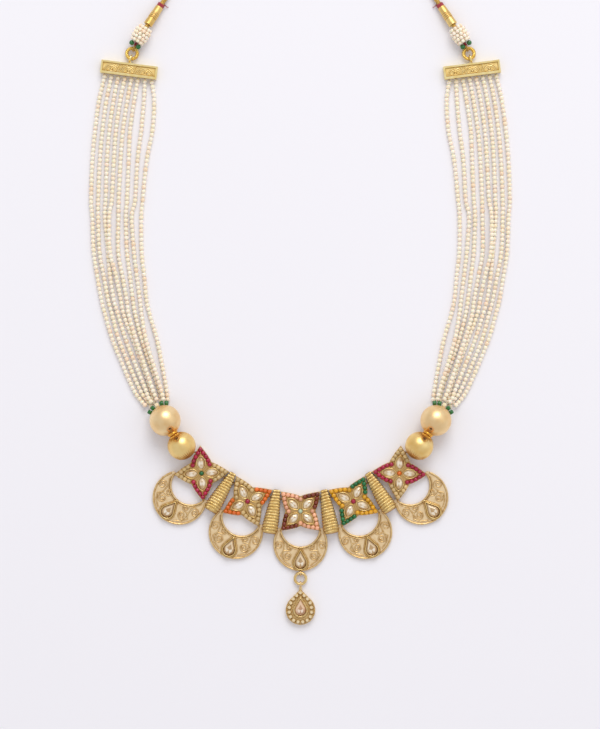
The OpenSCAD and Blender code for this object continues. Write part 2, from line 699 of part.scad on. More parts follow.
module pearl_barrel() {
    loop_r = 1.2;
    loop_wire = 0.25;
    way = unit(barrel_at - barrel_l / 2 * end_dir - [rope_at[0], rope_at[1], barrel_z]);
    loop_at = rope_at + (rope_ring_r + seat) * way;
    half = barrel_l / 2;
    color("linen") {
        translate(barrel_at) rotate([0, 0, -end_lean]) rotate([-90, 0, 0]) rotate_extrude($fn = 64)
            polygon([[cord_bore_r, 1 - half], [0, 1 - half], [0, -half], [barrel_mouth * barrel_r, -half],
                [barrel_r, -barrel_full * half], [barrel_r, barrel_full * half],
                [barrel_mouth * barrel_r, half], [cord_bore_r, half]]);
        translate(loop_at) rotate([0, 0, atan2(way[1], way[0]) + 90]) eye(loop_r, loop_wire);
        rod(loop_at + loop_r * way, [barrel_at[0], barrel_at[1], rope_z + 0.4]
            - (half - 2 * sink) * end_dir, 2 * loop_wire);
    }
}

// Distance of the green beads from the middle of the loop, and the places of the tube's bands
green_side = 1.95;
tube_bands = [0.42, 0.51, 0.6];
band_r = 0.25;

module dori_green_beads() {
    color("darkgreen") for (side = [-1, 1])
        translate(barrel_at - (barrel_l / 2 + green_d / 2 + 1.5 * gap) * end_dir
            + side * green_side * [end_dir[1], -end_dir[0], 0]) sphere(green_d / 2, $fn = 32);
}

module dori_tube() {
    color(gold) translate(tube_tip_at) rotate([0, 0, -end_lean])
        rotate([-90 - tube_fall, 0, 0]) translate([0, 0, -tube_l]) difference() {
            union() {
                cylinder(r1 = tube_mouth_r, r2 = tube_tip_r, h = tube_l, $fn = 64);
                for (share = tube_bands) translate([0, 0, tube_l * share])
                    torus(tube_mouth_r + (tube_tip_r - tube_mouth_r) * share, band_r);
            }
            translate([0, 0, -past]) cylinder(r = cord_bore_r, h = tube_l + 2 * past, $fn = 32);
        }
}

module dori_cord() {
    back = [for (k = [len(cord_route) - 2:-1:0]) flip([cord_route[k]])[0]];
    color(gold) skin(tube_rings(smooth(concat(cord_route, back), 6 * cord_r), cord_r, 8));
}

module dori_slider() {
    top = cord_route[len(cord_route) - 1];
    color(gold) translate(top) rotate([0, 90, 0]) difference() {
        cylinder(r = slider_r, h = slider_l, center = true, $fn = 64);
        cylinder(r = cord_bore_r, h = slider_l + 2 * past, center = true, $fn = 32);
    }
}

module jump_ring() {
    color("gold") translate([0, jump_y, jump_z]) torus(jump_r, jump_wire_r);
}

module centre_drop() {
    tip = drop_l - drop_r;
    color(gold) {
        translate(drop_at) {
            difference() {
                union() {
                    pear(drop_r, tip, 0, drop_h);
                    pear(drop_stone_r, drop_stone_tip, gap + 2 * collar_w, drop_h + drop_stone_h / 2);
                }
                translate([0, 0, drop_h]) pear(drop_stone_r, drop_stone_tip, gap, drop_stone_h);
            }
        }
        translate(drop_eye_at) {
            eye(lug_r, lug_wire_r);
            rod([0, -lug_r, 0], [0, -lug_r - neck_l - 0.8, 0], 0.6);
        }
    }
}

module drop_stone() {
    color("wheat") translate(drop_at + [0, 0, drop_h + seat])
        cut_stone(pear_points(drop_stone_r, drop_stone_tip), drop_stone_h);
}

// Pave stones of one side and those at the two ends, as distances from the round end's centre
pave_places = [[2.3, 5.5], [3.85, 3.4], [4.75, 0.6], [4.5, -2.3], [2.6, -4.5]];
pave_ends = [[0, 7.25], [0, -5.1]];
pave_h = 0.8;

module drop_pave_stones() {
    color("wheat") translate(drop_at + [0, 0, drop_h + seat])
        for (at = concat(pave_ends, pave_places, [for (p = pave_places) [-p[0], p[1]]])) translate(at)
            cut_stone([for (k = [0:7]) pave_d / 2 * [cos(45 * k), sin(45 * k)]], pave_h);
}

for (side = ["left", "right"]) {
    for (i = [1:8])
        on_bed() sided(side) pearl_strand(i);
    on_bed() sided(side) end_bar();
    on_bed() sided(side) rope_ring();
    on_bed() sided(side) pearl_barrel();
    on_bed() sided(side) dori_green_beads();
    on_bed() sided(side) dori_tube();
    on_bed() sided(side) bead_crown();
    on_bed() sided(side) large_gold_bead();
    on_bed() sided(side) spacer_rings();
    on_bed() sided(side) small_gold_bead();
}
for (i = [1:units]) {
    on_bed() pendant(i);
    on_bed() kundan_stones(i);
    on_bed() colour_beads(i);
}
for (i = [1:units - 1])
    on_bed() ribbed_spacer(i);
on_bed() stringing_thread();
on_bed() jump_ring();
on_bed() centre_drop();
on_bed() drop_stone();
on_bed() drop_pave_stones();
on_bed() dori_cord();
on_bed() dori_slider();
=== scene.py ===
import math
import bpy
import numpy as np
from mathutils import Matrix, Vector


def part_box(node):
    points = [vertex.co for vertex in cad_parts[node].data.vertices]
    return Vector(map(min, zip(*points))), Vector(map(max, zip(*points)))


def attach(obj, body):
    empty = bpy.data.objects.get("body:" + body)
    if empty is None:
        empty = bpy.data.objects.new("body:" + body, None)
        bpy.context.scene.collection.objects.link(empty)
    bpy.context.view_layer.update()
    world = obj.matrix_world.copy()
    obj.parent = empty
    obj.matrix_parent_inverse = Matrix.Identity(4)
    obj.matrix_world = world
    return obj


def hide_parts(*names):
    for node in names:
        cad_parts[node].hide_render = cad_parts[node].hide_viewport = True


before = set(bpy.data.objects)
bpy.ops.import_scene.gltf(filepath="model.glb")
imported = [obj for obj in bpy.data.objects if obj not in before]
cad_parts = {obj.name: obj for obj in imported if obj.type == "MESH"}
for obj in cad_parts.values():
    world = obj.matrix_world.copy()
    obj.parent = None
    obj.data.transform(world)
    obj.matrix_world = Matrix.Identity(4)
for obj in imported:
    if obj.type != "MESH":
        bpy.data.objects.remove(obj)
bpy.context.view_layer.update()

mm = 0.001
up = np.array([0, 0, 1.0])
scene = bpy.context.scene

# The middle of the row is found from the gold balls, whose place beside the centre flower is fixed
ballLow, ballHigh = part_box("large_gold_bead_left")
originY = (ballLow.y + ballHigh.y) / 2 / mm - 38.1


def row(points):
    # millimetres measured from the centre flower, to metres in the frame
    return (np.asarray(points, float) + [0, originY, 0]) * mm


def linearColour(hexText):
    # sRGB hex to linear red, green, blue and alpha
    c = np.array([int(hexText[i:i + 2], 16) for i in (1, 3, 5)]) / 255
    c = np.where(c <= 0.04045, c / 12.92, ((c + 0.055) / 1.055) ** 2.4)
    return (*(float(x) for x in c), 1.0)


def addNode(tree, kind, settings=None, feeds=None):
    # adds one node: settings are its properties, its sockets by name or number, or a colour ramp's
    # stops as (place, hex); feeds link an output to each socket that they name
    node = tree.nodes.new(kind)
    for name, value in (settings or {}).items():
        if name == "stops":
            elements = node.color_ramp.elements
            while len(elements) < len(value):
                elements.new(0.5)
            for element, (place, hexText) in zip(elements, value):
                element.position = place
                element.color = linearColour(hexText)
        elif isinstance(name, int) or name in node.inputs:
            node.inputs[name].default_value = value
        else:
            setattr(node, name, value)
    for name, source in (feeds or {}).items():
        tree.links.new(source, node.inputs[name])
    return node


def newMaterial(name, surface):
    # an empty material with its Principled shader set from one dictionary
    material = bpy.data.materials.new(name)
    material.use_nodes = True
    shader = material.node_tree.nodes["Principled BSDF"]
    for socket, value in surface.items():
        shader.inputs[socket].default_value = value
    return material, material.node_tree, shader


def lumpPattern(tree, size, detail):
    # uneven pattern on Object coordinates, its lumps about size metres across
    place = addNode(tree, "ShaderNodeTexCoord").outputs["Object"]
    return addNode(tree, "ShaderNodeTexNoise", {"Scale": 1 / size, "Detail": detail},
                   {"Vector": place}).outputs["Fac"]


def addGrain(tree, shader, size, detail, strength):
    # fine unevenness that casting, drawing or polishing leaves, 0.04 mm deep
    relief = addNode(tree, "ShaderNodeBump", {"Strength": strength, "Distance": 0.04 * mm},
                     {"Height": lumpPattern(tree, size, detail)})
    tree.links.new(relief.outputs["Normal"], shader.inputs["Normal"])


def colourByTone(tree, shader, stops):
    # colour from the tone that the mesh keeps for each bead or facet
    tone = addNode(tree, "ShaderNodeAttribute", {"attribute_name": "tone"}).outputs["Fac"]
    colour = addNode(tree, "ShaderNodeValToRGB", {"stops": stops}, {"Fac": tone})
    tree.links.new(colour.outputs["Color"], shader.inputs["Base Color"])


# Cast alloy with an antique gold plate: smooth and bright on wires, rims and edges, matt on the flat
# parts at the given heights, whose two colours are those of the wash left there; an edge colour is
# painted shade and reflection, mixed in where the surface is seen aslant, as between the turns of a
# wire; a corner colour is painted shade, mixed in where ambient occlusion finds corners beside
# raised lines
def castGold(name, paleHex, deepHex, flats=(), roughness=0.3, bump=0.2, edge="", cornerShade=""):
    material, tree, shader = newMaterial(name, {"Metallic": 1.0, "Roughness": roughness})
    tone = lumpPattern(tree, 1.4 * mm, 3)
    base = addNode(tree, "ShaderNodeValToRGB", {"stops": [(0.3, deepHex), (0.7, paleHex)]},
                   {"Fac": tone}).outputs["Color"]
    # in a mix, sockets 6 and 7 are the two colours and output 2 is the mixed one
    if flats:
        place = addNode(tree, "ShaderNodeTexCoord").outputs["Object"]
        height = addNode(tree, "ShaderNodeSeparateXYZ", feeds={"Vector": place}).outputs["Z"]
        band = {"From Min": 0.02 * mm, "From Max": 0.12 * mm}
    for flatHeight, lowHex, highHex in flats:
        # how far the point lies from the flat's height decides between wash and plate
        apart = addNode(tree, "ShaderNodeMath", {"operation": "SUBTRACT", 1: flatHeight * mm}, {0: height})
        size = addNode(tree, "ShaderNodeMath", {"operation": "ABSOLUTE"}, {0: apart.outputs[0]})
        share = addNode(tree, "ShaderNodeMapRange", band, {"Value": size.outputs[0]})
        wash = addNode(tree, "ShaderNodeValToRGB", {"stops": [(0.25, lowHex), (0.75, highHex)]},
                       {"Fac": tone})
        base = addNode(tree, "ShaderNodeMix", {"data_type": "RGBA"}, {
            "Factor": share.outputs["Result"], 6: wash.outputs["Color"], 7: base}).outputs[2]
    if flats:  # the last flat given is matt
        matt = addNode(tree, "ShaderNodeMapRange", {**band, "To Min": 0.5, "To Max": roughness},
                       {"Value": size.outputs[0]})
        tree.links.new(matt.outputs["Result"], shader.inputs["Roughness"])
    if edge:
        # painted shade and reflection: the edge colour is mixed in where the surface is seen aslant
        facing = addNode(tree, "ShaderNodeLayerWeight", {"Blend": 0.5}).outputs["Facing"]
        share = addNode(tree, "ShaderNodeMapRange", {"From Min": 0.25, "From Max": 0.85}, {"Value": facing})
        base = addNode(tree, "ShaderNodeMix", {"data_type": "RGBA", 7: linearColour(edge)}, {
            "Factor": share.outputs["Result"], 6: base}).outputs[2]
    if cornerShade:
        # painted shade: the dark corner colour is mixed in where the ambient occlusion node finds the surface
        # hemmed in
        shade = addNode(tree, "ShaderNodeAmbientOcclusion", {"samples": 8, "Distance": 0.5 * mm})
        share = addNode(tree, "ShaderNodeMapRange", {"From Min": 0.55, "From Max": 0.95},
                        {"Value": shade.outputs["AO"]})
        base = addNode(tree, "ShaderNodeMix", {"data_type": "RGBA", 6: linearColour(cornerShade)}, {
            "Factor": share.outputs["Result"], 7: base}).outputs[2]
    tree.links.new(base, shader.inputs["Base Color"])
    addGrain(tree, shader, 0.16 * mm, 1, bump)
    return material


# the corner colours below are painted shade in the corners beside raised lines
pendantGold = castGold("castAntiqueGold", "#f0d8a2", "#d6ae70", cornerShade="#a87838",
                       flats=((2.6, "#c8a264", "#e0bc80"), (1.2, "#e9cc9c", "#f7e2ba")))
dropGold = castGold("castDropGold", "#f3dcaa", "#dcb87c", cornerShade="#b48a48",
                    flats=((2.1, "#cdac6e", "#e4c892"),))
barGold = castGold("castYellowGold", "#fff0b4", "#f4d888", cornerShade="#c4943c",
                   flats=((2.9, "#e8c678", "#fce4a0"),), bump=0.1)
wireGold = castGold("drawnGoldWire", "#f6dda0", "#ddb870", roughness=0.26, bump=0.1)
ringGold = castGold("turnedOrangeGold", "#f6bf58", "#cf8a28", roughness=0.26, bump=0.1)
ropeGold = castGold("twistedYellowGold", "#fadc80", "#dcae48", roughness=0.24, bump=0.1)
# its edge colour is painted shade and reflection on the sides of the ribs
ribGold = castGold("woundGoldWire", "#f4da98", "#dab76c", roughness=0.3, bump=0.1, edge="#a05c18")


# Brass balls and tubes, gold plated and brushed to satin: broad soft highlights, faint polishing lines
def satinGold(name, paleHex, deepHex, roughness):
    material, tree, shader = newMaterial(name, {"Metallic": 1.0, "Roughness": roughness})
    tone = addNode(tree, "ShaderNodeValToRGB", {"stops": [(0.3, deepHex), (0.7, paleHex)]},
                   {"Fac": lumpPattern(tree, 5 * mm, 2)})
    # grooves, marked by the mesh's "wash" attribute, are coloured brown: on the fluted ball this is painted
    # shade in the flutes and towards the ends; on the tube it marks the dots and the grooves beside the bands
    wash = addNode(tree, "ShaderNodeAttribute", {"attribute_name": "wash"}).outputs["Fac"]
    mix = addNode(tree, "ShaderNodeMix", {"data_type": "RGBA", 7: linearColour("#a85f14")},
                  {"Factor": wash, 6: tone.outputs["Color"]})
    tree.links.new(mix.outputs[2], shader.inputs["Base Color"])
    addGrain(tree, shader, 0.35 * mm, 3, 0.12)
    return material


ballGold = satinGold("satinGoldBall", "#fae0ae", "#efca90", 0.38)
flutedGold = satinGold("flutedGoldBall", "#f9df9c", "#ecc272", 0.36)
tubeGold = satinGold("punchedGoldTube", "#f8de94", "#e4bf6a", 0.34)


# Glass beads with an imitation pearl coat: ivory with pink and cream ones among them, a soft sheen
def pearlCoat(name):
    material, tree, shader = newMaterial(name, {
        "Roughness": 0.3, "Coat Weight": 0.4, "Coat Roughness": 0.1, "Subsurface Weight": 0.3,
        "Subsurface Radius": (0.8 * mm, 0.5 * mm, 0.35 * mm), "Subsurface Scale": 1.0,
        "Sheen Weight": 0.4})
    colourByTone(tree, shader, [
        (0.0, "#fef1db"), (0.4, "#fceaca"), (0.75, "#fef1de"), (0.92, "#fce5ca"), (1.0, "#f8dcbc")])
    return material


pearlGlass = pearlCoat("imitationPearl")


# Pressed glass stones: clear strong colour under a polished face, a little light inside
def pressedGlass(name):
    material, tree, shader = newMaterial(name, {
        "Roughness": 0.12, "Coat Weight": 0.3, "Coat Roughness": 0.05, "IOR": 1.52,
        "Subsurface Weight": 0.15, "Subsurface Radius": (0.5 * mm, 0.3 * mm, 0.3 * mm),
        "Subsurface Scale": 1.0})
    tint = addNode(tree, "ShaderNodeAttribute", {"attribute_name": "tint"})
    tree.links.new(tint.outputs["Color"], shader.inputs["Base Color"])
    return material


colourGlass = pressedGlass("pressedColourGlass")


# Foil-backed glass: the foil behind the facets throws light back; each facet's tone, bright or brown, is a
# painted reflection of it
def foiledGlass(name, stops):
    material, tree, shader = newMaterial(name, {
        "Roughness": 0.14, "Metallic": 0.45, "Coat Weight": 1.0, "Coat Roughness": 0.03, "IOR": 1.52})
    colourByTone(tree, shader, stops)
    return material


stoneGlass = foiledGlass("foilBackedGlass", [
    (0.0, "#94703f"), (0.3, "#c6a270"), (0.6, "#e4cba2"), (1.0, "#fbf0da")])
paveGlass = foiledGlass("foilBackedPaveGlass", [
    (0.0, "#a8824c"), (0.4, "#cfae72"), (0.7, "#e0c690"), (1.0, "#f5e2b8")])
dropGlass = foiledGlass("foilBackedRoseGlass", [
    (0.0, "#a67a55"), (0.3, "#d2a47c"), (0.6, "#eccaa6"), (1.0, "#fff0dd")])


# Twisted thread: fibres seen as fine slanting lines along the piece's own UV map
def twistedThread(name, lightHex, darkHex, turns, metallic=0.0, roughness=0.6):
    material, tree, shader = newMaterial(name, {
        "Roughness": roughness, "Metallic": metallic, "Sheen Weight": 0.3})
    place = addNode(tree, "ShaderNodeTexCoord").outputs["UV"]
    wave = addNode(tree, "ShaderNodeTexWave", {
        "Scale": turns, "Distortion": 0.6, "Detail": 1.0, "bands_direction": "DIAGONAL"},
        {"Vector": place})
    colour = addNode(tree, "ShaderNodeValToRGB", {"stops": [(0.2, darkHex), (0.8, lightHex)]},
                     {"Fac": wave.outputs["Fac"]})
    tree.links.new(colour.outputs["Color"], shader.inputs["Base Color"])
    relief = addNode(tree, "ShaderNodeBump", {"Strength": 0.5, "Distance": 0.1 * mm},
                     {"Height": wave.outputs["Fac"]})
    tree.links.new(relief.outputs["Normal"], shader.inputs["Normal"])
    return material


crimsonThread = twistedThread("crimsonSilkThread", "#c0323c", "#84181f", 5)
zariThread = twistedThread("zariThread", "#f0c964", "#a8742a", 4, metallic=0.75, roughness=0.32)

print("materials ready")


def addMesh(name, points, faces, material, attributes=None, uv=None, smooth=True):
    # makes a piece of the root body; attributes are one value or colour for each point
    mesh = bpy.data.meshes.new(name)
    mesh.from_pydata(np.asarray(points).tolist(), [], np.asarray(faces).tolist()
                     if isinstance(faces, np.ndarray) else [list(f) for f in faces])
    for key, values in (attributes or {}).items():
        values = np.asarray(values, float)
        kind = "FLOAT" if values.ndim == 1 else "FLOAT_COLOR"
        layer = mesh.attributes.new(key, kind, "POINT")
        layer.data.foreach_set("value" if kind == "FLOAT" else "color", values.ravel())
    if uv is not None:
        corners = np.zeros(len(mesh.loops), int)
        mesh.loops.foreach_get("vertex_index", corners)
        mesh.uv_layers.new(name="UVMap").data.foreach_set("uv", np.asarray(uv, float)[corners].ravel())
    mesh.materials.append(material)
    mesh.polygons.foreach_set("use_smooth", [smooth] * len(mesh.polygons))
    mesh.update()
    piece = bpy.data.objects.new(name, mesh)
    scene.collection.objects.link(piece)
    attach(piece, "root")
    return piece


def turnAngles(count):
    # equal steps round a circle
    return 2 * np.pi * np.arange(count) / count


def gridFaces(rows, columns, closeRows=False, closeColumns=True):
    # quads of a grid of points, rows first; a closed direction joins its last line to its first
    i = np.arange(rows if closeRows else rows - 1)
    j = np.arange(columns if closeColumns else columns - 1)
    i, j = np.meshgrid(i, j, indexing="ij")
    a, b = i * columns + j, i * columns + (j + 1) % columns
    c, d = (i + 1) % rows * columns + (j + 1) % columns, (i + 1) % rows * columns + j
    return np.stack([a, b, c, d], -1).reshape(-1, 4)


def capped(faces, rows, columns):
    # the grid's faces with a fan-like cap over its first and last row
    return [list(map(int, f)) for f in faces] + [
        list(range(columns - 1, -1, -1)), list(range((rows - 1) * columns, rows * columns))]


def unitRows(v):
    return v / np.linalg.norm(v, axis=-1, keepdims=True)


def lineFrames(points, closed=False):
    # direction along a line of points, the level one across it, and the one over it
    if closed:
        along = np.roll(points, -1, 0) - np.roll(points, 1, 0)
    else:
        along = np.gradient(points, axis=0)
    along = unitRows(along)
    across = np.cross(along, up)
    across = unitRows(across)
    return along, across, np.cross(across, along)


def tubeSurface(points, radius, sides, closed=False, turn=0.0, lobes=0, lobeDepth=0.0):
    # circle of the radius carried along the line, its radius rising and falling with the lobes
    along, across, over = lineFrames(points, closed)
    a = turnAngles(sides)
    radius = np.broadcast_to(radius, len(points))[:, None]
    shift = np.broadcast_to(turn, len(points))[:, None]
    r = radius * (1 - lobeDepth + lobeDepth * np.cos(lobes * (a[None] + shift)))
    grid = points[:, None] + r[..., None] * (np.cos(a)[None, :, None] * across[:, None]
                                             - np.sin(a)[None, :, None] * over[:, None])
    return grid.reshape(-1, 3)


def tubeUv(count, sides, length):
    # u round the tube, v along it in units of a millimetre
    v = np.linspace(0, length / mm, count)
    return np.stack(np.broadcast_arrays(np.arange(sides)[None] / sides, v[:, None]), -1).reshape(-1, 2)


def copies(shape, faces, centres, sizes, frames=None):
    # one small shape put at every centre, sized, and turned by its frame, whose columns are its axes
    turned = shape[None] if frames is None else np.einsum("nij,mj->nmi", frames, shape)
    points = turned * np.broadcast_to(sizes, len(centres))[:, None, None] + np.asarray(centres)[:, None]
    offsets = range(0, len(centres) * len(shape), len(shape))
    return points.reshape(-1, 3), [[k + o for k in f] for o in offsets for f in faces]


def beadShape(around, levels, roundness, holeShare):
    # bead turned about z: its radius is (1 - |z|^roundness)^(1/roundness), flat at the thread's hole
    t = np.linspace(-1, 1, levels)
    z = np.sin(t * np.pi / 2) * 0.97
    r = np.maximum((1 - np.abs(z) ** roundness) ** (1 / roundness), holeShare)
    a = turnAngles(around)
    points = np.stack([r[:, None] * np.cos(a), r[:, None] * np.sin(a),
                       np.broadcast_to(z[:, None], (levels, around))], -1).reshape(-1, 3)
    return points, capped(gridFaces(levels, around), levels, around)


def steps(points, count):
    # points at equal distances along a line of points, and the line's length
    lengths = np.concatenate([[0], np.cumsum(np.linalg.norm(np.diff(points, axis=0), axis=1))])
    at = np.linspace(0, lengths[-1], count)
    return np.stack([np.interp(at, lengths, values) for values in points.T], -1), lengths[-1]


def stepsRound(points, count):
    # points at equal distances round a closed line
    return steps(np.vstack([points, points[:1]]), count + 1)[0][:-1]


def atHeight(flat, height):
    # points of a plan put at one height
    return np.column_stack([flat, np.full(len(flat), height)])


def smoothLine(points, perSpan=12):
    # the source's own curve through chosen points: it bends in plan and eases in height
    p = np.asarray(points, float)
    t = np.linspace(0, 1, perSpan, endpoint=False)[:, None]
    a = np.vstack([p[:1], p[:-2]])
    d = np.vstack([p[2:], p[-1:]])
    spans = []
    for a, b, c, d in zip(a, p[:-1], p[1:], d):
        q = (2 * b + (c - a) * t + (2 * a - 5 * b + 4 * c - d) * t ** 2
             + (3 * b - a - 3 * c + d) * t ** 3) / 2
        q[:, 2] = (b[2] + (c[2] - b[2]) * (3 - 2 * t) * t ** 2)[:, 0]
        spans.append(q)
    return np.vstack(spans + [p[-1:]])


def mirrored(points):
    return np.asarray(points) * [-1, 1, 1]


def onSide(points, faces, side):
    # the left side's surface, or its mirror image with the faces turned back outwards
    if side == "left":
        return points, faces
    return mirrored(points), [list(face)[::-1] for face in faces]


# Camera straight above, as far off as a copy stand would hold it
camera = {"height": 1.3, "frameHeight": 0.3062, "centre": (-0.2, 61.5)}
lens = bpy.data.cameras.new("camera")
lens.sensor_width = 36.0
lens.lens = camera["height"] * lens.sensor_width / camera["frameHeight"]
lens.clip_end = 20.0
eye = bpy.data.objects.new("camera", lens)
eye.location = (*row([*camera["centre"], 0])[:2], camera["height"])
scene.collection.objects.link(eye)
scene.camera = eye

# The cord's route is the source's own, from inside the left barrel by the slider to the right one
dori = {"diameter": 2.1 * mm, "plyTurn": 4.2 * mm, "sides": 14}
cordPoints = [
    [-67.4, 198.6, 3.7], [-64.6, 202.9, 3.65], [-63.9, 204, 3.25], [-61.5, 207.6, 2.5],
    [-59.1, 211.4, 1.75],
    [-55.5, 216.6, 1.2], [-50, 222.8, 1.05], [-43, 229, 1.05], [-35, 234.4, 1.05],
    [-26, 238.7, 1.05], [-17, 241.6, 1.05], [-9, 243.1, 1.6], [-4.5, 243.6, 2.4], [0, 243.6, 2.4]]


def addCord():
    half = np.array(cordPoints)
    route = row(smoothLine(np.vstack([half, mirrored(half[-2::-1])])))
    line, length = steps(route, 420)
    turn = 2 * np.pi * np.linspace(0, length / dori["plyTurn"], len(line))
    points = tubeSurface(line, dori["diameter"] / 2, dori["sides"], turn=turn, lobes=3, lobeDepth=0.09)
    faces = capped(gridFaces(len(line), dori["sides"]), len(line), dori["sides"])
    piece = addMesh("dori_cord_twisted", points, faces, zariThread,
                    uv=tubeUv(len(line), dori["sides"], length))
    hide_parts("dori_cord")
    print("cord", round(length / mm, 1), "mm")


addCord()

# Route of each strand of the left side as in the source: y, distances from the middle, heights
strandRows = [
    [172.6, [84.5, 81.4, 78.4, 75.6, 72.6, 69.7, 65.7, 61.4], [0, 0, 0, 0, 0, 0, 0, 0]],
    [160.0, [86.2, 83.1, 80.2, 77.4, 74.5, 71.5, 66.8, 62.1], [0, 0, 0, 0, 0, 0, 0, 0]],
    [147.4, [87.3, 84.2, 81.2, 78.3, 75.5, 72.1, 68.4, 64.5], [0, 0, 0, 0, 0, 0, 0, 0]],
    [130.6, [87.9, 84.9, 81.8, 79.2, 76.3, 72.8, 69.4, 66.2], [0, 0, 0, 0, 0, 0, 0, 0]],
    [123.9, [87.4, 84.9, 82.1, 80.2, 76.4, 73.3, 70.8, 66.8], [0, 0, 0, 1.1, 0, 0, 0, 0]],
    [109.2, [86.8, 84.4, 80.8, 79.9, 76.5, 72.8, 69.9, 66.7], [0, 0, 0, 2, 0, 0, 0, 0]],
    [98.9, [85.3, 82.6, 79.9, 77.4, 74.8, 71.6, 68.7, 65.6], [0, 0, 0.3, 1.1, 0, 0, 0, 0]],
    [88.6, [83.5, 80.7, 78.3, 75.4, 72.9, 70.3, 67.4, 64.6], [0, 0, 0.6, 0, 0, 0, 0, 0]],
    [81.9, [81.8, 78.9, 76.4, 74.0, 71.9, 69.2, 66.6, 63.1], [0, 0, 0, 0, 0.9, 0, 0.1, 0]],
    [70.6, [78.4, 75.7, 72.8, 69.8, 68.5, 66.2, 64.4, 59.9], [0, 0, 0, 0, 1.8, 0, 1.4, 0]],
    [52.1, [70.6, 67.9, 65.4, 63.2, 62.3, 59.7, 58.8, 56.4], [0, 0, 0.9, 0, 1.9, 0, 2, 0]],
    [46.8, [67.3, 64.6, 63.4, 62.1, 60.3, 58.6, 57.5, 55.8], [0, 0, 1.8, 0, 1.8, 0, 1.8, 0]]]
strandEnds = [
    [64.6, 43.9, 2.3], [62.3, 43.3, 1], [61.9, 45.5, 2.95], [60.9, 45, 0.95],
    [60, 46.4, 2.8], [58.2, 45.7, 0.97], [57.3, 46.8, 2.8], [55.6, 46, 1.1]]
strand = {"bead": 2.0, "pitch": 1.83, "pitchAtBar": 2.8, "threadRadius": 0.3}
endBar = {"middle": (71.9, 185.1), "lean": math.radians(7.3), "width": 5.4}


def strandLine(i):
    # centre line of strand i on the left, in millimetres from the centre flower
    along, across = (i - 3.5) * strand["pitchAtBar"], -endBar["width"] / 2 - 0.4
    c, s = math.cos(endBar["lean"]), math.sin(endBar["lean"])
    start = [-endBar["middle"][0] + along * c + across * s,
             endBar["middle"][1] - along * s + across * c, 0.95]
    chosen = [[-xs[i], y, 0.95 + zs[i]] for y, xs, zs in strandRows]
    end = strandEnds[i]
    return smoothLine([start] + chosen + [[-end[0], end[1], end[2]]])


def addStrand(side, i):
    dice = np.random.default_rng(100 * (side == "right") + i)
    line = strandLine(i)
    if side == "right":
        line = mirrored(line)
    line, length = steps(row(line), 600)
    count = int(length / mm / strand["pitch"])
    centres, _ = steps(line, 2 * count + 1)
    along, across, over = lineFrames(centres)
    centres, along, across, over = (v[1::2] for v in (centres, along, across, over))
    along = unitRows(along + dice.normal(0, 0.05, along.shape))
    across = unitRows(np.cross(along, over))
    over = np.cross(across, along)
    frames = np.stack([across, -over, along], -1)
    shape, faces = beadShape(12, 7, 2.3, 0.25)
    shape = shape * [1, 1, 0.97]
    sizes = strand["bead"] / 2 * mm * (1 - np.abs(dice.normal(0, 0.025, count)))
    points, allFaces = copies(shape, faces, centres, sizes, frames)
    tones = np.repeat(dice.random(count), len(shape))
    thread = tubeSurface(line[::6], strand["threadRadius"] * mm, 6)
    threadFaces = capped(gridFaces(len(thread) // 6, 6), len(thread) // 6, 6)
    allFaces += [[k + len(points) for k in f] for f in threadFaces]
    points = np.vstack([points, thread])
    tones = np.concatenate([tones, np.ones(len(thread))])
    name = f"pearl_strand_{side}_{i + 1}"
    piece = addMesh(name + "_beads", points, allFaces, pearlGlass, {"tone": tones})
    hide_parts(name)


for side in ("left", "right"):
    for i in range(8):
        addStrand(side, i)
print("strands ready")

# Row of pendants: the same sizes as in the source
flower = {"rowRadius": 62, "tip": 11.6, "neck": 1.37, "gap": 0.36, "thickness": 2.6, "bead": 1.84,
          "heart": 1.9, "marquiseAt": 4.3, "marquise": (5.2, 3.3), "marquiseHeight": 1.15,
          "crescentDrop": 13.8, "plate": 1.2, "tearDown": 7.95, "tear": (2.45, 5.0), "tearHeight": 1.6}
tipX = flower["tip"] * math.sin(math.pi / 4)
halfStep = (math.atan(tipX / (flower["rowRadius"] - tipX))
            + math.asin((flower["neck"] + flower["gap"]) / math.hypot(tipX, flower["rowRadius"] - tipX)))


def onRow(points, turn):
    # turns points about the row's centre, so that they sit in the unit at that angle
    p = np.asarray(points, float)
    c, s = math.cos(turn), math.sin(turn)
    x, y = p[..., 0], p[..., 1] - flower["rowRadius"]
    return np.stack([x * c - y * s, flower["rowRadius"] + x * s + y * c, p[..., 2]], -1)


def spin(points, degrees):
    # turns points about z
    p, a = np.asarray(points, float), math.radians(degrees)
    return np.stack([p[..., 0] * math.cos(a) - p[..., 1] * math.sin(a),
                     p[..., 0] * math.sin(a) + p[..., 1] * math.cos(a), p[..., 2]], -1)


def marquiseOutline(length, width, count=7):
    # two equal arcs that meet in points
    r = (length ** 2 + width ** 2) / 4 / width
    a = math.asin(length / 2 / r) * (1 - 2 * np.arange(count) / count)
    arc = np.stack([r * np.sin(a), r * np.cos(a) - (r - width / 2)], -1)
    return np.vstack([arc, -arc])


def pearOutline(r, tip, count=16):
    # a circle at the origin and its two tangents to the tip
    a = math.acos(r / tip)
    b = np.linspace(math.pi / 2 + a, 5 * math.pi / 2 - a, count)
    return np.vstack([[[0, tip]], np.stack([r * np.cos(b), r * np.sin(b)], -1)])


def pearAround(stone, out, count):
    # a pear stone's outline grown evenly, its round end by the distance out
    radius, tip = stone
    return pearOutline(radius + out, tip * (radius + out) / radius, count)


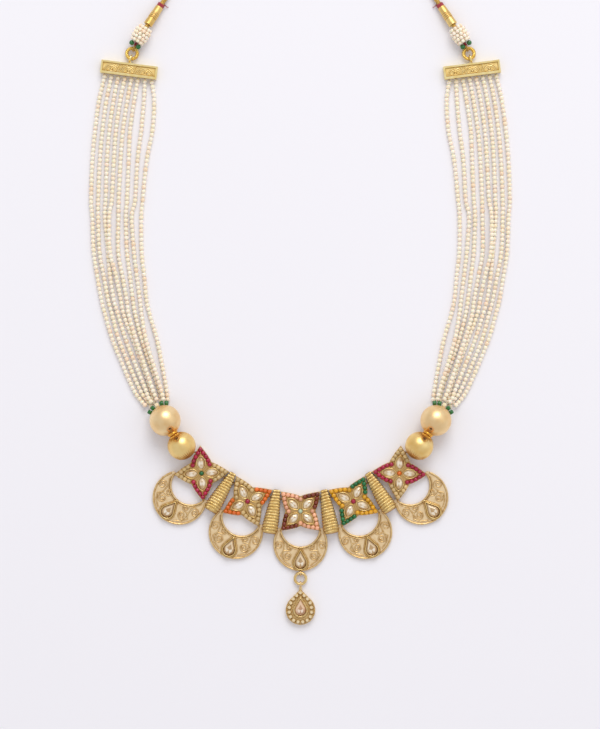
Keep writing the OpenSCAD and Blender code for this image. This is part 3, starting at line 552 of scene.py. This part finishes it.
def cutStone(outline, height, tableShare, dice, brightness=0.0):
    # crown of facets round a flat table, every facet with points of its own and a tone of its own, which is
    # painted light; the table is split into wedges round the middle, whose tones are a painted reflection of
    # the pavilion below it
    n = len(outline)
    levels = [(0.82, 0.0), (1.0, 0.3), (0.98, 0.42), (tableShare + 0.2, 0.8), (tableShare, 1.0)]
    rings = np.array([[[x * k, y * k, height * h] for x, y in outline] for k, h in levels])
    nextRing = np.roll(rings, -1, 1)
    quads = np.stack([rings[:-1], nextRing[:-1], nextRing[1:], rings[1:]], 2).reshape(-1, 4, 3)
    top, bottom = rings[-1], rings[0]
    middle = np.array([0, 0, height])
    wedges = np.stack([top, np.roll(top, -1, 0), np.broadcast_to(middle, top.shape)], 1)
    under = np.stack([np.roll(bottom, -1, 0), bottom, np.zeros_like(bottom)], 1)
    # painted light: facets that face up and left are painted bright, as if lit from there, the others darker;
    # wedges along the stone's length are painted dark as a reflection
    facing = quads.mean(1)[:, :2]
    facing = facing / np.linalg.norm(facing, axis=1, keepdims=True)
    facetLightTone = 0.5 + 0.3 * facing @ np.array([-0.5, 0.86]) + dice.normal(0, 0.07, len(quads))
    # painted shade: the two steep rings of facets at the girdle are darker
    facetLightTone[:2 * n] *= 0.75
    spots = wedges.mean(1)[:, :2] - wedges.mean((0, 1))[:2]
    axis = 0 if np.ptp(outline[:, 0]) > np.ptp(outline[:, 1]) else 1
    along = np.abs(spots[:, axis]) / np.maximum(np.linalg.norm(spots, axis=1), 1e-6)
    wedgeReflectionTone = np.where(along > 0.93, 0.3, 0.95) + dice.normal(0, 0.06, n)
    facetLightTone, wedgeReflectionTone = (np.clip(t + brightness, 0, 1) for t in (facetLightTone, wedgeReflectionTone))
    points = np.vstack([quads.reshape(-1, 3), wedges.reshape(-1, 3), under.reshape(-1, 3)])
    faces = np.arange(4 * len(quads)).reshape(-1, 4).tolist()
    triangles = 4 * len(quads) + np.arange(6 * n).reshape(-1, 3)
    tones = np.concatenate([np.repeat(facetLightTone, 4), np.repeat(wedgeReflectionTone, 3), np.full(3 * n, 0.3)])
    return points, faces + triangles.tolist(), tones


def joined(parts):
    # several (points, faces), or (points, faces, values), as one
    faces, start = [], 0
    for part in parts:
        faces += [[k + start for k in face] for face in part[1]]
        start += len(part[0])
    values = [np.concatenate([part[2] for part in parts])] if len(parts[0]) > 2 else []
    return np.vstack([part[0] for part in parts]), faces, *values


def domeShape(around, levels, fullness=1.0, squareness=1.0):
    # half a ball on its flat side, its height fullness times its radius; a squareness below one
    # makes its sides steep and its top broad
    t = np.linspace(0, np.pi / 2 * 0.96, levels)
    a = turnAngles(around)
    r, z = np.cos(t) ** squareness, np.sin(t) * fullness
    points = np.stack([r[:, None] * np.cos(a), r[:, None] * np.sin(a),
                       np.broadcast_to(z[:, None], (levels, around))], -1).reshape(-1, 3)
    return points, capped(gridFaces(levels, around), levels, around)


# Colours of each unit's stones: upper left and lower right petals, the other two, the heart
glass = {"ruby": "#a8103c", "champagne": "#cdb078", "orange": "#dc6a12", "peach": "#eaac86",
         "maroon": "#742802", "amber": "#dfa416", "green": "#0f6a34", "mint": "#b9ccae"}
unitColours = [("ruby", "champagne", "green"), ("champagne", "orange", "ruby"), ("peach", "maroon", "mint"),
               ("amber", "green", "ruby"), ("ruby", "champagne", "orange")]
petalRow = np.array([[3.5, 3.55, 0], [5.6, 2.95, 0], [7.75, 1.66, 0], [10, 0, 0], [7.75, -1.66, 0],
                     [5.6, -2.95, 0], [3.5, -3.55, 0]])
# the upper left and lower right petals (1 and 3) have a stone more on each flank
petalStones = [steps(petalRow[1:-1], 7)[0][:, :2], steps(petalRow, 9)[0][:, :2]]


def addUnitStones(i):
    dice = np.random.default_rng(50 + i)
    turn = (i - 2) * 2 * halfStep
    outline = marquiseOutline(*flower["marquise"])
    stones = []
    for k in range(4):
        points, faces, tones = cutStone(outline, flower["marquiseHeight"], 0.5, dice, 0.1)
        points = spin(points + [flower["marquiseAt"], 0, flower["thickness"] + 0.05], 45 + 90 * k)
        stones.append((points, faces, tones))
    points, faces, tones = cutStone(pearOutline(*flower["tear"]), flower["tearHeight"], 0.52, dice)
    stones.append((points + [0, -flower["crescentDrop"] - flower["tearDown"], flower["plate"] + 0.05],
                   faces, tones))
    points, faces, tones = joined(stones)
    name = f"kundan_stones_{i + 1}"
    piece = addMesh(name + "_cut", row(onRow(points, turn)), faces, stoneGlass,
                    {"tone": tones}, smooth=False)
    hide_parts(name)

    shape, faces = domeShape(14, 6, 0.95, 0.8)
    centres, colours, sizes = [], [], []
    for k in range(4):
        wide = k % 2
        places = petalStones[wide]
        centres.append(spin(atHeight(places, flower["thickness"] + 0.05), 45 + 90 * k))
        colours += [linearColour(glass[unitColours[i][0 if wide else 1]])] * len(places)
        sizes += [flower["bead"] / 2] * len(places)
    centres = np.vstack(centres + [[[0, 0, flower["thickness"] + 0.05]]])
    colours.append(linearColour(glass[unitColours[i][2]]))
    sizes.append(flower["heart"] / 2)
    sizes = np.array(sizes) * 1.05  # the domes bulge a little past their seats
    shade = 1 + 0.12 * dice.standard_normal((len(centres), 1))
    colours = np.clip(np.array(colours) * np.hstack([np.repeat(shade, 3, 1), np.ones((len(shade), 1))]), 0, 1)
    points, faces = copies(shape, faces, centres, sizes)
    name = f"colour_beads_{i + 1}"
    piece = addMesh(name + "_set", row(onRow(points, turn)), faces, colourGlass,
                    {"tint": np.repeat(colours, len(shape), 0)})
    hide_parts(name)


# Gold grains that hold the small stones: one on each side of every gap between neighbours
grains = {"radius": 0.27, "outside": 0.8, "inside": 0.82, "tip": 11.05}


def addGrains(i):
    turn = (i - 2) * 2 * halfStep
    centres = []
    for k in range(4):
        places = petalStones[k % 2]
        a, b = places[:-1], places[1:]
        middle = (a + b) / 2
        normal = unitRows(np.stack([(b - a)[:, 1], -(b - a)[:, 0]], -1))
        normal *= np.sign(np.sum(normal * (middle - [4, 0]), 1))[:, None]
        spots = np.vstack([middle + grains["outside"] * normal, middle - grains["inside"] * normal,
                           [[grains["tip"], 0]]])
        centres.append(spin(atHeight(spots, flower["thickness"]), 45 + 90 * k))
    centres = np.vstack(centres)
    shape, faces = domeShape(8, 4, 1.3)
    points, faces = copies(shape, faces, centres, grains["radius"])
    addMesh(f"flower_grains_{i + 1}", row(onRow(points, turn)), faces, wireGold)


# Bright wire round each stone, on top of its cast collar
rim = {"out": 0.26, "wire": 0.23, "marquiseTop": 0.7, "tearTop": 1.2, "stepOut": 0.8, "stepTop": 0.6}


def rimWire(outline, height, wire):
    # closed round wire along an outline in plan
    line = stepsRound(atHeight(outline, height), 60)
    return tubeSurface(line, wire, 8, closed=True), gridFaces(60, 8, closeRows=True).tolist()


def addRims(i):
    turn = (i - 2) * 2 * halfStep
    length, width = flower["marquise"]
    lens = marquiseOutline(length + 3.2 * rim["out"], width + 2 * rim["out"], 12)
    wires = []
    for k in range(4):
        points, faces = rimWire(lens + [flower["marquiseAt"], 0],
                                flower["thickness"] + rim["marquiseTop"], rim["wire"])
        wires.append((spin(points, 45 + 90 * k), faces))
    for out, top in ((rim["out"], rim["tearTop"]), (rim["stepOut"], rim["stepTop"])):
        pear = pearAround(flower["tear"], out, 40)
        wires.append(rimWire(pear - [0, flower["crescentDrop"] + flower["tearDown"]],
                             flower["plate"] + top, rim["wire"]))
    points, faces = joined(wires)
    addMesh(f"stone_rims_{i + 1}", row(onRow(points, turn)), faces, wireGold)


for i in range(5):
    addUnitStones(i)
    addGrains(i)
    addRims(i)
print("stones ready")


def revolve(profile, at, axis, around, ripple=None):
    # closed profile of (radius, place along the axis) turned round the axis through the point at
    axis = np.asarray(axis, float) / np.linalg.norm(axis)
    side = unitRows(np.cross(axis, up) if abs(axis[2]) < 0.95 else np.array([1.0, 0, 0]))
    over = np.cross(axis, side)
    a = turnAngles(around)
    r, t = np.asarray(profile, float).T
    r = np.broadcast_to(r[:, None], (len(r), around))
    if ripple is not None:
        r = r + ripple(r, t[:, None], a[None])
    grid = (np.asarray(at) + t[:, None, None] * axis
            + r[..., None] * (np.cos(a)[None, :, None] * side + np.sin(a)[None, :, None] * over))
    return grid.reshape(-1, 3), gridFaces(len(t), around, closeRows=True)


# Ribbed spacers: wire wound on a cone, each turn pressed into short beads
spacer = {"length": 18.7, "neck": 1.37, "end": 3.45, "swell": 1.8, "ribs": 15, "depth": 0.5,
          "beads": 26, "bite": 0.12, "clear": 0.1, "round": (0.82, 0.5)}


def addSpacer(i):
    turn = (i - 1.5) * 2 * halfStep
    grown = spacer["end"] - spacer["neck"]
    slope = math.asin(grown / spacer["length"])
    t = np.linspace(0, spacer["length"], spacer["ribs"] * 9 + 1)
    share = t / spacer["length"]
    envelope = spacer["end"] - grown * (1 - share) ** spacer["swell"]
    start, loss = spacer["round"]
    envelope = envelope * np.sqrt(1 - loss * np.clip((share - start) / (1 - start), 0, 1) ** 2)
    wave = np.abs(np.sin(np.pi * t * spacer["ribs"] / spacer["length"])) ** 0.55
    r = envelope - spacer["depth"] * (1 - wave)
    profile = np.vstack([[[0.45, 0]], np.column_stack([r, t]), [[0.45, spacer["length"]]]])

    def pressed(radius, along, angle):
        # each rib is a twisted wire: its nicks slant across the crest
        ribs = along * spacer["ribs"] / spacer["length"]
        crest = np.where(radius > 0.5, 1, 0)
        return crest * spacer["bite"] * np.cos(spacer["beads"] * angle + 2 * np.pi * ribs)

    foot = [0, tipX - spacer["clear"], np.max(envelope - grown * share) / math.cos(slope) + 0.05]
    axis = [0, -math.cos(slope), math.sin(slope)]
    points, faces = revolve(profile, foot, axis, 132, pressed)
    name = f"ribbed_spacer_{i + 1}"
    piece = addMesh(name + "_wound", row(onRow(points, turn)), faces, ribGold)
    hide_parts(name)


for i in range(4):
    addSpacer(i)

# Gold balls on their slanting bores
balls = {"large": {"at": (-56.6, 38.1), "radius": 6.5, "flutes": 0, "depth": 0.0},
         "small": {"at": (-49.7, 27.5), "radius": 5.9, "flutes": 30, "depth": 0.3},
         "bore": 0.5, "rise": math.radians(50)}
largeAt = np.array([*balls["large"]["at"], balls["large"]["radius"]])
smallAt = np.array([*balls["small"]["at"], balls["small"]["radius"]])
link = smallAt - largeAt
link[2] = 0
link = link / np.linalg.norm(link)


def addBall(kind, side):
    ball = balls[kind]
    r, bore = ball["radius"], balls["bore"]
    edge = math.asin(bore / r)
    v = np.linspace(edge, math.pi - edge, 110 if ball["flutes"] else 60)
    outer = np.column_stack([r * np.sin(v), -r * np.cos(v)])
    inner = np.column_stack([np.full(5, bore), np.linspace(1, -1, 5) * (r * math.cos(edge) - 0.2)])
    middle = largeAt if kind == "large" else smallAt
    way = 1 if kind == "large" else -1
    axis = link * math.cos(balls["rise"]) * way + np.array([0, 0, math.sin(balls["rise"])])
    points, faces = revolve(np.vstack([outer, inner]), middle, axis, 192 if ball["flutes"] else 96)
    wash = np.zeros(len(points))
    if ball["flutes"]:
        # grooves fan out from the two ends of the level line through both balls and fade towards the
        # waist; painted shade is coloured in where they are deep
        out = unitRows(points - middle)
        ends = out @ link
        angle = np.arctan2(out[:, 2], out @ np.cross(link, up))
        fade = np.clip((np.abs(ends) - 0.5) / 0.4, 0, 1)
        wash = fade * (0.5 + 0.5 * np.cos(ball["flutes"] * angle)) ** 2
        skin = np.linalg.norm(points - middle, axis=1) > 0.99 * r
        points = points - np.where(skin, ball["depth"] * wash, 0)[:, None] * out
        # painted shade: brown in the deep grooves and a little more towards the two ends, on the outer skin
        # only
        wash = np.clip(1.3 * wash + 0.3 * fade ** 3, 0, 1) * skin
    points, faces = onSide(points, faces, side)
    name = f"{kind}_gold_bead_{side}"
    piece = addMesh(name + "_ball", row(points), faces, ballGold if kind == "large" else flutedGold,
                    {"wash": wash})
    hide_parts(name)


# Rings that stand in the crevice between the balls: one plain, one with grains
rings = {"outer": 2.3, "plainWire": 0.6, "grainWire": 0.4, "height": 12, "grains": 14, "grain": 0.34}


def torusProfile(mean, wire, count=16):
    a = turnAngles(count)
    return np.column_stack([mean + wire * np.cos(a), wire * np.sin(a)])


def addSpacerRings(side):
    plainAt = balls["large"]["radius"] - 0.1
    grainAt = plainAt + rings["plainWire"] + rings["grainWire"] + 0.13
    mean = rings["outer"] - rings["plainWire"]
    parts = []
    for place, wire in ((plainAt, rings["plainWire"]), (grainAt, rings["grainWire"])):
        at = largeAt * [1, 1, 0] + place * link + [0, 0, rings["height"]]
        points, faces = revolve(torusProfile(mean, wire), at, link, 48)
        parts.append((points, faces.tolist()))
    a = turnAngles(rings["grains"])
    over = np.cross(link, up)
    centres = at + (mean + 0.25) * (np.cos(a)[:, None] * over + np.sin(a)[:, None] * up)
    shape, faces = beadShape(10, 7, 2.0, 0.1)
    parts.append(copies(shape, faces, centres, rings["grain"]))
    points, faces = onSide(*joined(parts), side)
    name = f"spacer_rings_{side}"
    piece = addMesh(name + "_pair", row(points), faces, ringGold)
    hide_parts(name)


# Beads that end the strands on the large ball: angle from the bore, distance in plan, colour
crown = {"bead": 2.0, "places": [[29, 7.3, "green"], [12.5, 7.3, "green"], [-4, 7.3, "cream"],
                                 [-20.5, 7.3, "green"], [-37, 7.3, "green"]],
         "green": "#1b6a2a", "cream": "#efe0bc"}


def addCrown(side):
    centres, colours = [], []
    linkAngle = math.atan2(link[1], link[0])
    for degrees, reach, colour in crown["places"]:
        a = linkAngle + math.pi + math.radians(degrees)
        fall = math.sqrt((balls["large"]["radius"] + crown["bead"] / 2 + 0.1) ** 2 - reach ** 2)
        centres.append(largeAt + [reach * math.cos(a), reach * math.sin(a), -fall])
        colours.append(linearColour(crown[colour]))
    centres = np.array(centres)
    # each bead's hole lies level and square to the ball
    away = unitRows((centres - largeAt) * [1, 1, 0])
    across = np.cross(away, up)
    frames = np.stack([away, np.broadcast_to(up, away.shape), across], -1)
    shape, faces = beadShape(14, 9, 4.5, 0.3)
    points, faces = copies(shape * [1, 1, 0.9], faces, centres, crown["bead"] / 2, frames)
    if np.linalg.det(frames[0]) < 0:
        faces = [face[::-1] for face in faces]
    points, faces = onSide(points, faces, side)
    name = f"bead_crown_{side}"
    piece = addMesh(name + "_beads", row(points), faces, colourGlass,
                    {"tint": np.repeat(np.array(colours), len(shape), 0)})
    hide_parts(name)


for side in ("left", "right"):
    addBall("large", side)
    addBall("small", side)
    addSpacerRings(side)
    addCrown(side)
print("balls and spacers ready")

# Twisted ring: three plies of round wire laid round a circle
ropeRing = {"mean": 2.2, "ply": 0.4, "offset": 0.34, "twists": 7}


def addRopeRing(side):
    low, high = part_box(f"rope_ring_{side}")
    centre = (np.array(low) + np.array(high)) / 2 / mm
    a = turnAngles(140)
    parts = []
    for k in range(3):
        b = ropeRing["twists"] * a + 2 * np.pi * k / 3
        r = ropeRing["mean"] + ropeRing["offset"] * np.cos(b)
        line = centre + np.column_stack([r * np.cos(a), r * np.sin(a), ropeRing["offset"] * np.sin(b)])
        parts.append((tubeSurface(line, ropeRing["ply"], 10, closed=True),
                      gridFaces(len(line), 10, closeRows=True).tolist()))
    points, faces = joined(parts)
    piece = addMesh(f"rope_ring_{side}_plies", points * mm, faces, ropeGold)
    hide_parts(f"rope_ring_{side}")


# What is threaded on the cord's end: barrel woven of pearls, two green beads, tapered tube
cordEnd = {"lean": math.radians(32.9), "fall": math.radians(9.5), "tip": (-59.1, 211.4, 1.75),
           "tubeLength": 9.1, "tubeMouth": 1.9, "tubeTip": 1.66, "bore": 1.28,
           "barrelRadius": 3.7, "barrelLength": 7.8, "barrelHeight": 3.7, "pearl": 1.62, "green": 2.1,
           "rounds": 5, "roundStep": 1.52, "greenAcross": (-1.5, 1.75)}
endWay = np.array([math.sin(cordEnd["lean"]), math.cos(cordEnd["lean"]), 0])
endAcross = np.array([endWay[1], -endWay[0], 0])
barrelAt = (np.array([*cordEnd["tip"][:2], cordEnd["barrelHeight"]])
            - (cordEnd["tubeLength"] + 1 + cordEnd["barrelLength"] / 2) * endWay)


def addBarrel(side):
    dice = np.random.default_rng(7 if side == "left" else 8)
    half, radius, pearl = cordEnd["barrelLength"] / 2, cordEnd["barrelRadius"], cordEnd["pearl"]
    centres, frames = [], []
    for k in range(cordEnd["rounds"]):
        along = (k - (cordEnd["rounds"] - 1) / 2) * cordEnd["roundStep"]
        envelope = np.interp(abs(along), [0.55 * half, half], [radius, 0.72 * radius])
        r = envelope - pearl / 2
        count = int(2 * math.pi * r / pearl)
        a = 2 * np.pi * (np.arange(count) + 0.5 * (k % 2)) / count + dice.normal(0, 0.03, count)
        out = np.cos(a)[:, None] * endAcross + np.sin(a)[:, None] * up
        centres.append(barrelAt + along * endWay + r * out)
        frames.append(np.stack([out, np.cross(endWay, out), np.broadcast_to(endWay, out.shape)], -1))
    centres, frames = np.vstack(centres), np.vstack(frames)
    shape, faces = beadShape(10, 7, 2.6, 0.3)
    sizes = pearl / 2 * (1 - np.abs(dice.normal(0, 0.03, len(centres))))
    points, faces = copies(shape, faces, centres, sizes, frames)
    tones = np.repeat(dice.random(len(centres)), len(shape))
    core, coreFaces = revolve([[cordEnd["bore"], half - 0.5], [cordEnd["bore"], -half + 0.7],
                               [1.9, -half + 0.5], [2.5, -1.8], [2.5, 1.8], [1.9, half - 0.7]],
                              barrelAt, endWay, 32)
    points, faces, tones = joined([(points, faces, tones), (core, coreFaces[:, ::-1].tolist(),
                                                            np.ones(len(core)))])
    points, faces = onSide(points, faces, side)
    piece = addMesh(f"pearl_barrel_{side}_woven", row(points), faces, pearlGlass,
                    {"tone": tones})
    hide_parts(f"pearl_barrel_{side}")


# Gold strands from the barrel round the rope ring, and the crimson thread wound over them
endLoop = {"apart": 0.22, "half": (1.95, 1.15), "strand": 0.2, "binding": (1.35, 0.5, 1.2), "turns": 4}


def addEndLoop(side):
    # two ellipses side by side, then a helix along their far end
    low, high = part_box("rope_ring_left")
    ring = np.array(low + high) / 2 / mm - [0, originY, 0]
    way = (barrelAt - cordEnd["barrelLength"] / 2 * endWay - ring) * [1, 1, 0]
    way = way / np.linalg.norm(way)
    across = np.cross(way, up)
    middle = ring + (2.25 + 0.75) * way
    a, b = turnAngles(48), turnAngles(8)
    parts = []
    for shift in (-endLoop["apart"], endLoop["apart"]):
        line = (middle + shift * across + endLoop["half"][0] * np.cos(a)[:, None] * way
                + endLoop["half"][1] * np.sin(a)[:, None] * up)
        along = lineFrames(line, True)[0]
        grid = line[:, None] + endLoop["strand"] * (
            np.cos(b)[None, :, None] * across + np.sin(b)[None, :, None] * np.cross(along, across)[:, None])
        parts.append((grid.reshape(-1, 3), gridFaces(len(line), 8, closeRows=True).tolist()))
    points, faces = onSide(*joined(parts), side)
    rounds = len(points) // 8
    uv = np.column_stack([np.tile(np.arange(8) / 8, rounds), np.repeat(np.arange(rounds), 8) / 6])
    addMesh(f"ring_loop_{side}", row(points), faces, zariThread, uv=uv)
    t = np.linspace(0, 1, 90)
    a = 2 * np.pi * endLoop["turns"] * t
    length, half, high = endLoop["binding"]
    line = (middle + 0.55 * way + length * t[:, None] * way + half * np.cos(a)[:, None] * across
            + (high * np.sin(a) + 0.1)[:, None] * up)
    points = tubeSurface(line, endLoop["strand"], 8)
    faces = capped(gridFaces(len(line), 8), len(line), 8)
    points, faces = onSide(points, faces, side)
    addMesh(f"crimson_binding_{side}", row(points), faces, crimsonThread,
            uv=tubeUv(len(line), 8, 12 * mm))


def addGreenBeads(side):
    at = barrelAt - (cordEnd["barrelLength"] / 2 + cordEnd["green"] / 2) * endWay
    centres = np.array([at + place * endAcross for place in cordEnd["greenAcross"]])
    turned = np.stack([endWay, up, np.cross(endWay, up)], -1)
    shape, faces = beadShape(20, 13, 2.3, 0.22)
    points, faces = copies(shape, faces, centres, cordEnd["green"] / 2, np.stack([turned, turned]))
    points, faces = onSide(points, faces, side)
    piece = addMesh(f"dori_green_beads_{side}_pair", row(points), faces, colourGlass,
                    {"tint": np.tile(linearColour(crown["green"]), (len(points), 1))})
    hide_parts(f"dori_green_beads_{side}")


def addTube(side):
    # tapered tube with three raised bands between punched dots, open at both ends
    length, mouth, tip, bore = (cordEnd[k] for k in ("tubeLength", "tubeMouth", "tubeTip", "bore"))
    t = np.linspace(0, length, 110)
    r = mouth + (tip - mouth) * t / length
    for band in (0.42, 0.51, 0.6):
        r = r + 0.2 * np.exp(-((t / length - band) / 0.018) ** 2)
    r[0] -= 0.12
    r[-1] -= 0.1
    profile = np.vstack([np.column_stack([r, t - length]), [[bore, 0], [bore, -length / 2], [bore, -length]]])

    def dots(radius, along, angle):
        share = (along + length) / length
        plain = (np.abs(share - 0.51) < 0.13) | (np.abs(share - 0.5) > 0.46) | (radius < bore + 0.05)
        return np.where(plain, 0, np.clip(np.cos(14 * angle) * np.cos(2 * np.pi * along / 0.62), 0, 1))

    axis = endWay * math.cos(cordEnd["fall"]) - np.array([0, 0, math.sin(cordEnd["fall"])])
    points, faces = revolve(profile, cordEnd["tip"], axis, 84, lambda *place: -0.08 * dots(*place))
    # the wash stays in the dots and beside the bands
    wash = dots(profile[:, :1], profile[:, 1:], 2 * np.pi * np.arange(84)[None] / 84)
    share = (profile[:, 1:] + length) / length
    for groove in (0.38, 0.465, 0.555, 0.64):
        wash = wash + np.exp(-((share - groove) / 0.016) ** 2)
    points, faces = onSide(points, faces, side)
    piece = addMesh(f"dori_tube_{side}_turned", row(points), faces, tubeGold,
                    {"wash": np.clip(0.85 * wash, 0, 1).ravel()})
    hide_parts(f"dori_tube_{side}")


# Crimson thread wound round the cord where it leaves the tube, with its loose end
wrap = {"length": 1.3, "fall": 0.25, "mean": 1.28, "turns": 4, "thread": 0.3, "loose": 0.17}


def addWrap(side):
    # a helix along the cord, then a smooth line to the surface
    t = np.linspace(0, 1, 130)
    start = np.array(cordEnd["tip"]) + 0.35 * endWay - [0, 0, 0.05]
    a = 2 * np.pi * wrap["turns"] * t
    line = (start + t[:, None] * (wrap["length"] * endWay - wrap["fall"] * up)
            + wrap["mean"] * (np.cos(a)[:, None] * endAcross + np.sin(a)[:, None] * up))
    tail = smoothLine([line[-1], [-56.9, 212.4, 2.1], [-56.2, 211.6, 1.0], [-55.5, 211.5, 0.35]], 10)
    parts = []
    for path, radius in ((line, wrap["thread"]), (tail, wrap["loose"])):
        points = tubeSurface(path, radius, 8)
        parts.append((points, capped(gridFaces(len(path), 8), len(path), 8), tubeUv(len(path), 8, 20 * mm)))
    points, faces, uv = joined(parts)
    points, faces = onSide(points, faces, side)
    addMesh(f"crimson_wrap_{side}", row(points), faces, crimsonThread, uv=uv)


for side in ("left", "right"):
    addRopeRing(side)
    addBarrel(side)
    addEndLoop(side)
    addGreenBeads(side)
    addTube(side)
    addWrap(side)
print("cord ends ready")

# Pear drop on its jump ring
drop = {"radius": 6.17, "tip": 8.73, "thickness": 2.1, "stone": (2.35, 4.7), "stoneHeight": 1.9,
        "pave": 1.92, "jump": 2.33, "jumpWire": 0.56, "grains": (0.24, 0.26),
        "places": [[1.58, 6.04], [2.95, 4.62], [4, 2.95], [4.6, 1.05], [4.62, -0.91], [4.11, -2.75],
                   [2.81, -4.26], [0.97, -4.88]]}
low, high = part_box("centre_drop")
dropAt = np.array([0, low.y / mm - originY + drop["radius"], 0])


def addDropStones():
    dice = np.random.default_rng(90)
    at = dropAt + [0, 0, drop["thickness"] + 0.05]
    points, faces, tones = cutStone(pearOutline(*drop["stone"]), drop["stoneHeight"], 0.5, dice, -0.1)
    piece = addMesh("drop_stone_cut", row(points + at), faces, dropGlass, {"tone": tones},
                    smooth=False)
    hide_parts("drop_stone")
    places = np.array([[0, 7.25]] + drop["places"] + [[-x, y] for x, y in drop["places"][::-1]])
    a = turnAngles(8)
    outline = drop["pave"] / 2 * np.column_stack([np.cos(a), np.sin(a)])
    stones = []
    for x, y in places:
        points, faces, tones = cutStone(outline, 0.8, 0.55, dice, 0)
        stones.append((points + at + [x, y, 0], faces, tones))
    points, faces, tones = joined(stones)
    piece = addMesh("drop_pave_stones_cut", row(points), faces, paveGlass, {"tone": tones},
                    smooth=False)
    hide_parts("drop_pave_stones")
    # grains along the edge, round the middle stone and between the small ones
    edge = stepsRound(pearOutline(drop["radius"] - 0.3, drop["tip"] - 0.55, 80), 65)
    inner = stepsRound(pearAround(drop["stone"], 0.85, 80), 41)
    between = (places + np.roll(places, -1, 0)) / 2 * 1.12
    centres = atHeight(np.vstack([edge, inner, between]), drop["thickness"]) + dropAt
    sizes = np.repeat(drop["grains"], [len(edge), len(inner) + len(between)])
    points, faces = copies(*domeShape(8, 4, 1.3), centres, sizes)
    addMesh("drop_grains", row(points), faces, wireGold)
    pear = pearAround(drop["stone"], rim["out"], 40)
    points, faces = rimWire(pear, drop["thickness"] + drop["stoneHeight"] / 2, rim["wire"])
    addMesh("drop_rim", row(points + dropAt), faces, wireGold)


def addJumpRing():
    low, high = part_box("jump_ring")
    centre = np.array(low + high) / 2 / mm
    points, faces = revolve(torusProfile(drop["jump"], drop["jumpWire"]), centre, [0, 0, 1], 72)
    piece = addMesh("jump_ring_wire", points * mm, faces, wireGold)
    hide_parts("jump_ring")


addDropStones()
addJumpRing()
print("drop ready")

# Floor, light and colour
floor = {"size": 4.0, "colour": "#f3f2f6"}
half = floor["size"] / 2
mesh = bpy.data.meshes.new("floor")
mesh.from_pydata([(-half, -half, 0), (half, -half, 0), (half, half, 0), (-half, half, 0)], [], [(0, 1, 2, 3)])
ground = bpy.data.objects.new("floor", mesh)
scene.collection.objects.link(ground)
mesh.materials.append(newMaterial("mattWhitePaper", {
    "Base Color": linearColour(floor["colour"]), "Roughness": 0.9, "Specular IOR Level": 0.1})[0])

lights = [
    {"name": "softboxBehind", "at": (0.2, 1.4, 1.4), "size": 1.2, "watts": 18},
    {"name": "softboxRight", "at": (1.5, 0.3, 1.2), "size": 1.6, "watts": 2}]
for light in lights:
    lamp = bpy.data.lights.new(light["name"], "AREA")
    lamp.energy = light["watts"]
    lamp.size = light["size"]
    stand = bpy.data.objects.new(light["name"], lamp)
    stand.location = light["at"]
    away = np.array(light["at"])
    away = away / np.linalg.norm(away)
    stand.rotation_euler = (math.acos(away[2]), 0, math.atan2(away[1], away[0]) + math.pi / 2)
    scene.collection.objects.link(stand)
world = bpy.data.worlds.new("studio")
scene.world = world
world.use_nodes = True
world.node_tree.nodes["Background"].inputs["Color"].default_value = linearColour("#f4f2f5")
world.node_tree.nodes["Background"].inputs["Strength"].default_value = 0.77
scene.view_settings.view_transform = "Standard"

castNodes = {"pendant": pendantGold, "end_bar": barGold, "rope_ring": ropeGold, "dori_tube": tubeGold,
             "spacer_rings": ringGold, "ribbed_spacer": ribGold, "jump_ring": wireGold,
             "centre_drop": dropGold, "dori_slider": wireGold, "large_gold_bead": ballGold,
             "small_gold_bead": flutedGold, "stringing_thread": zariThread, "pearl_barrel": pearlGlass}
for name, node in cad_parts.items():
    for start, material in castNodes.items():
        if name.startswith(start):
            node.data.materials.clear()
            node.data.materials.append(material)
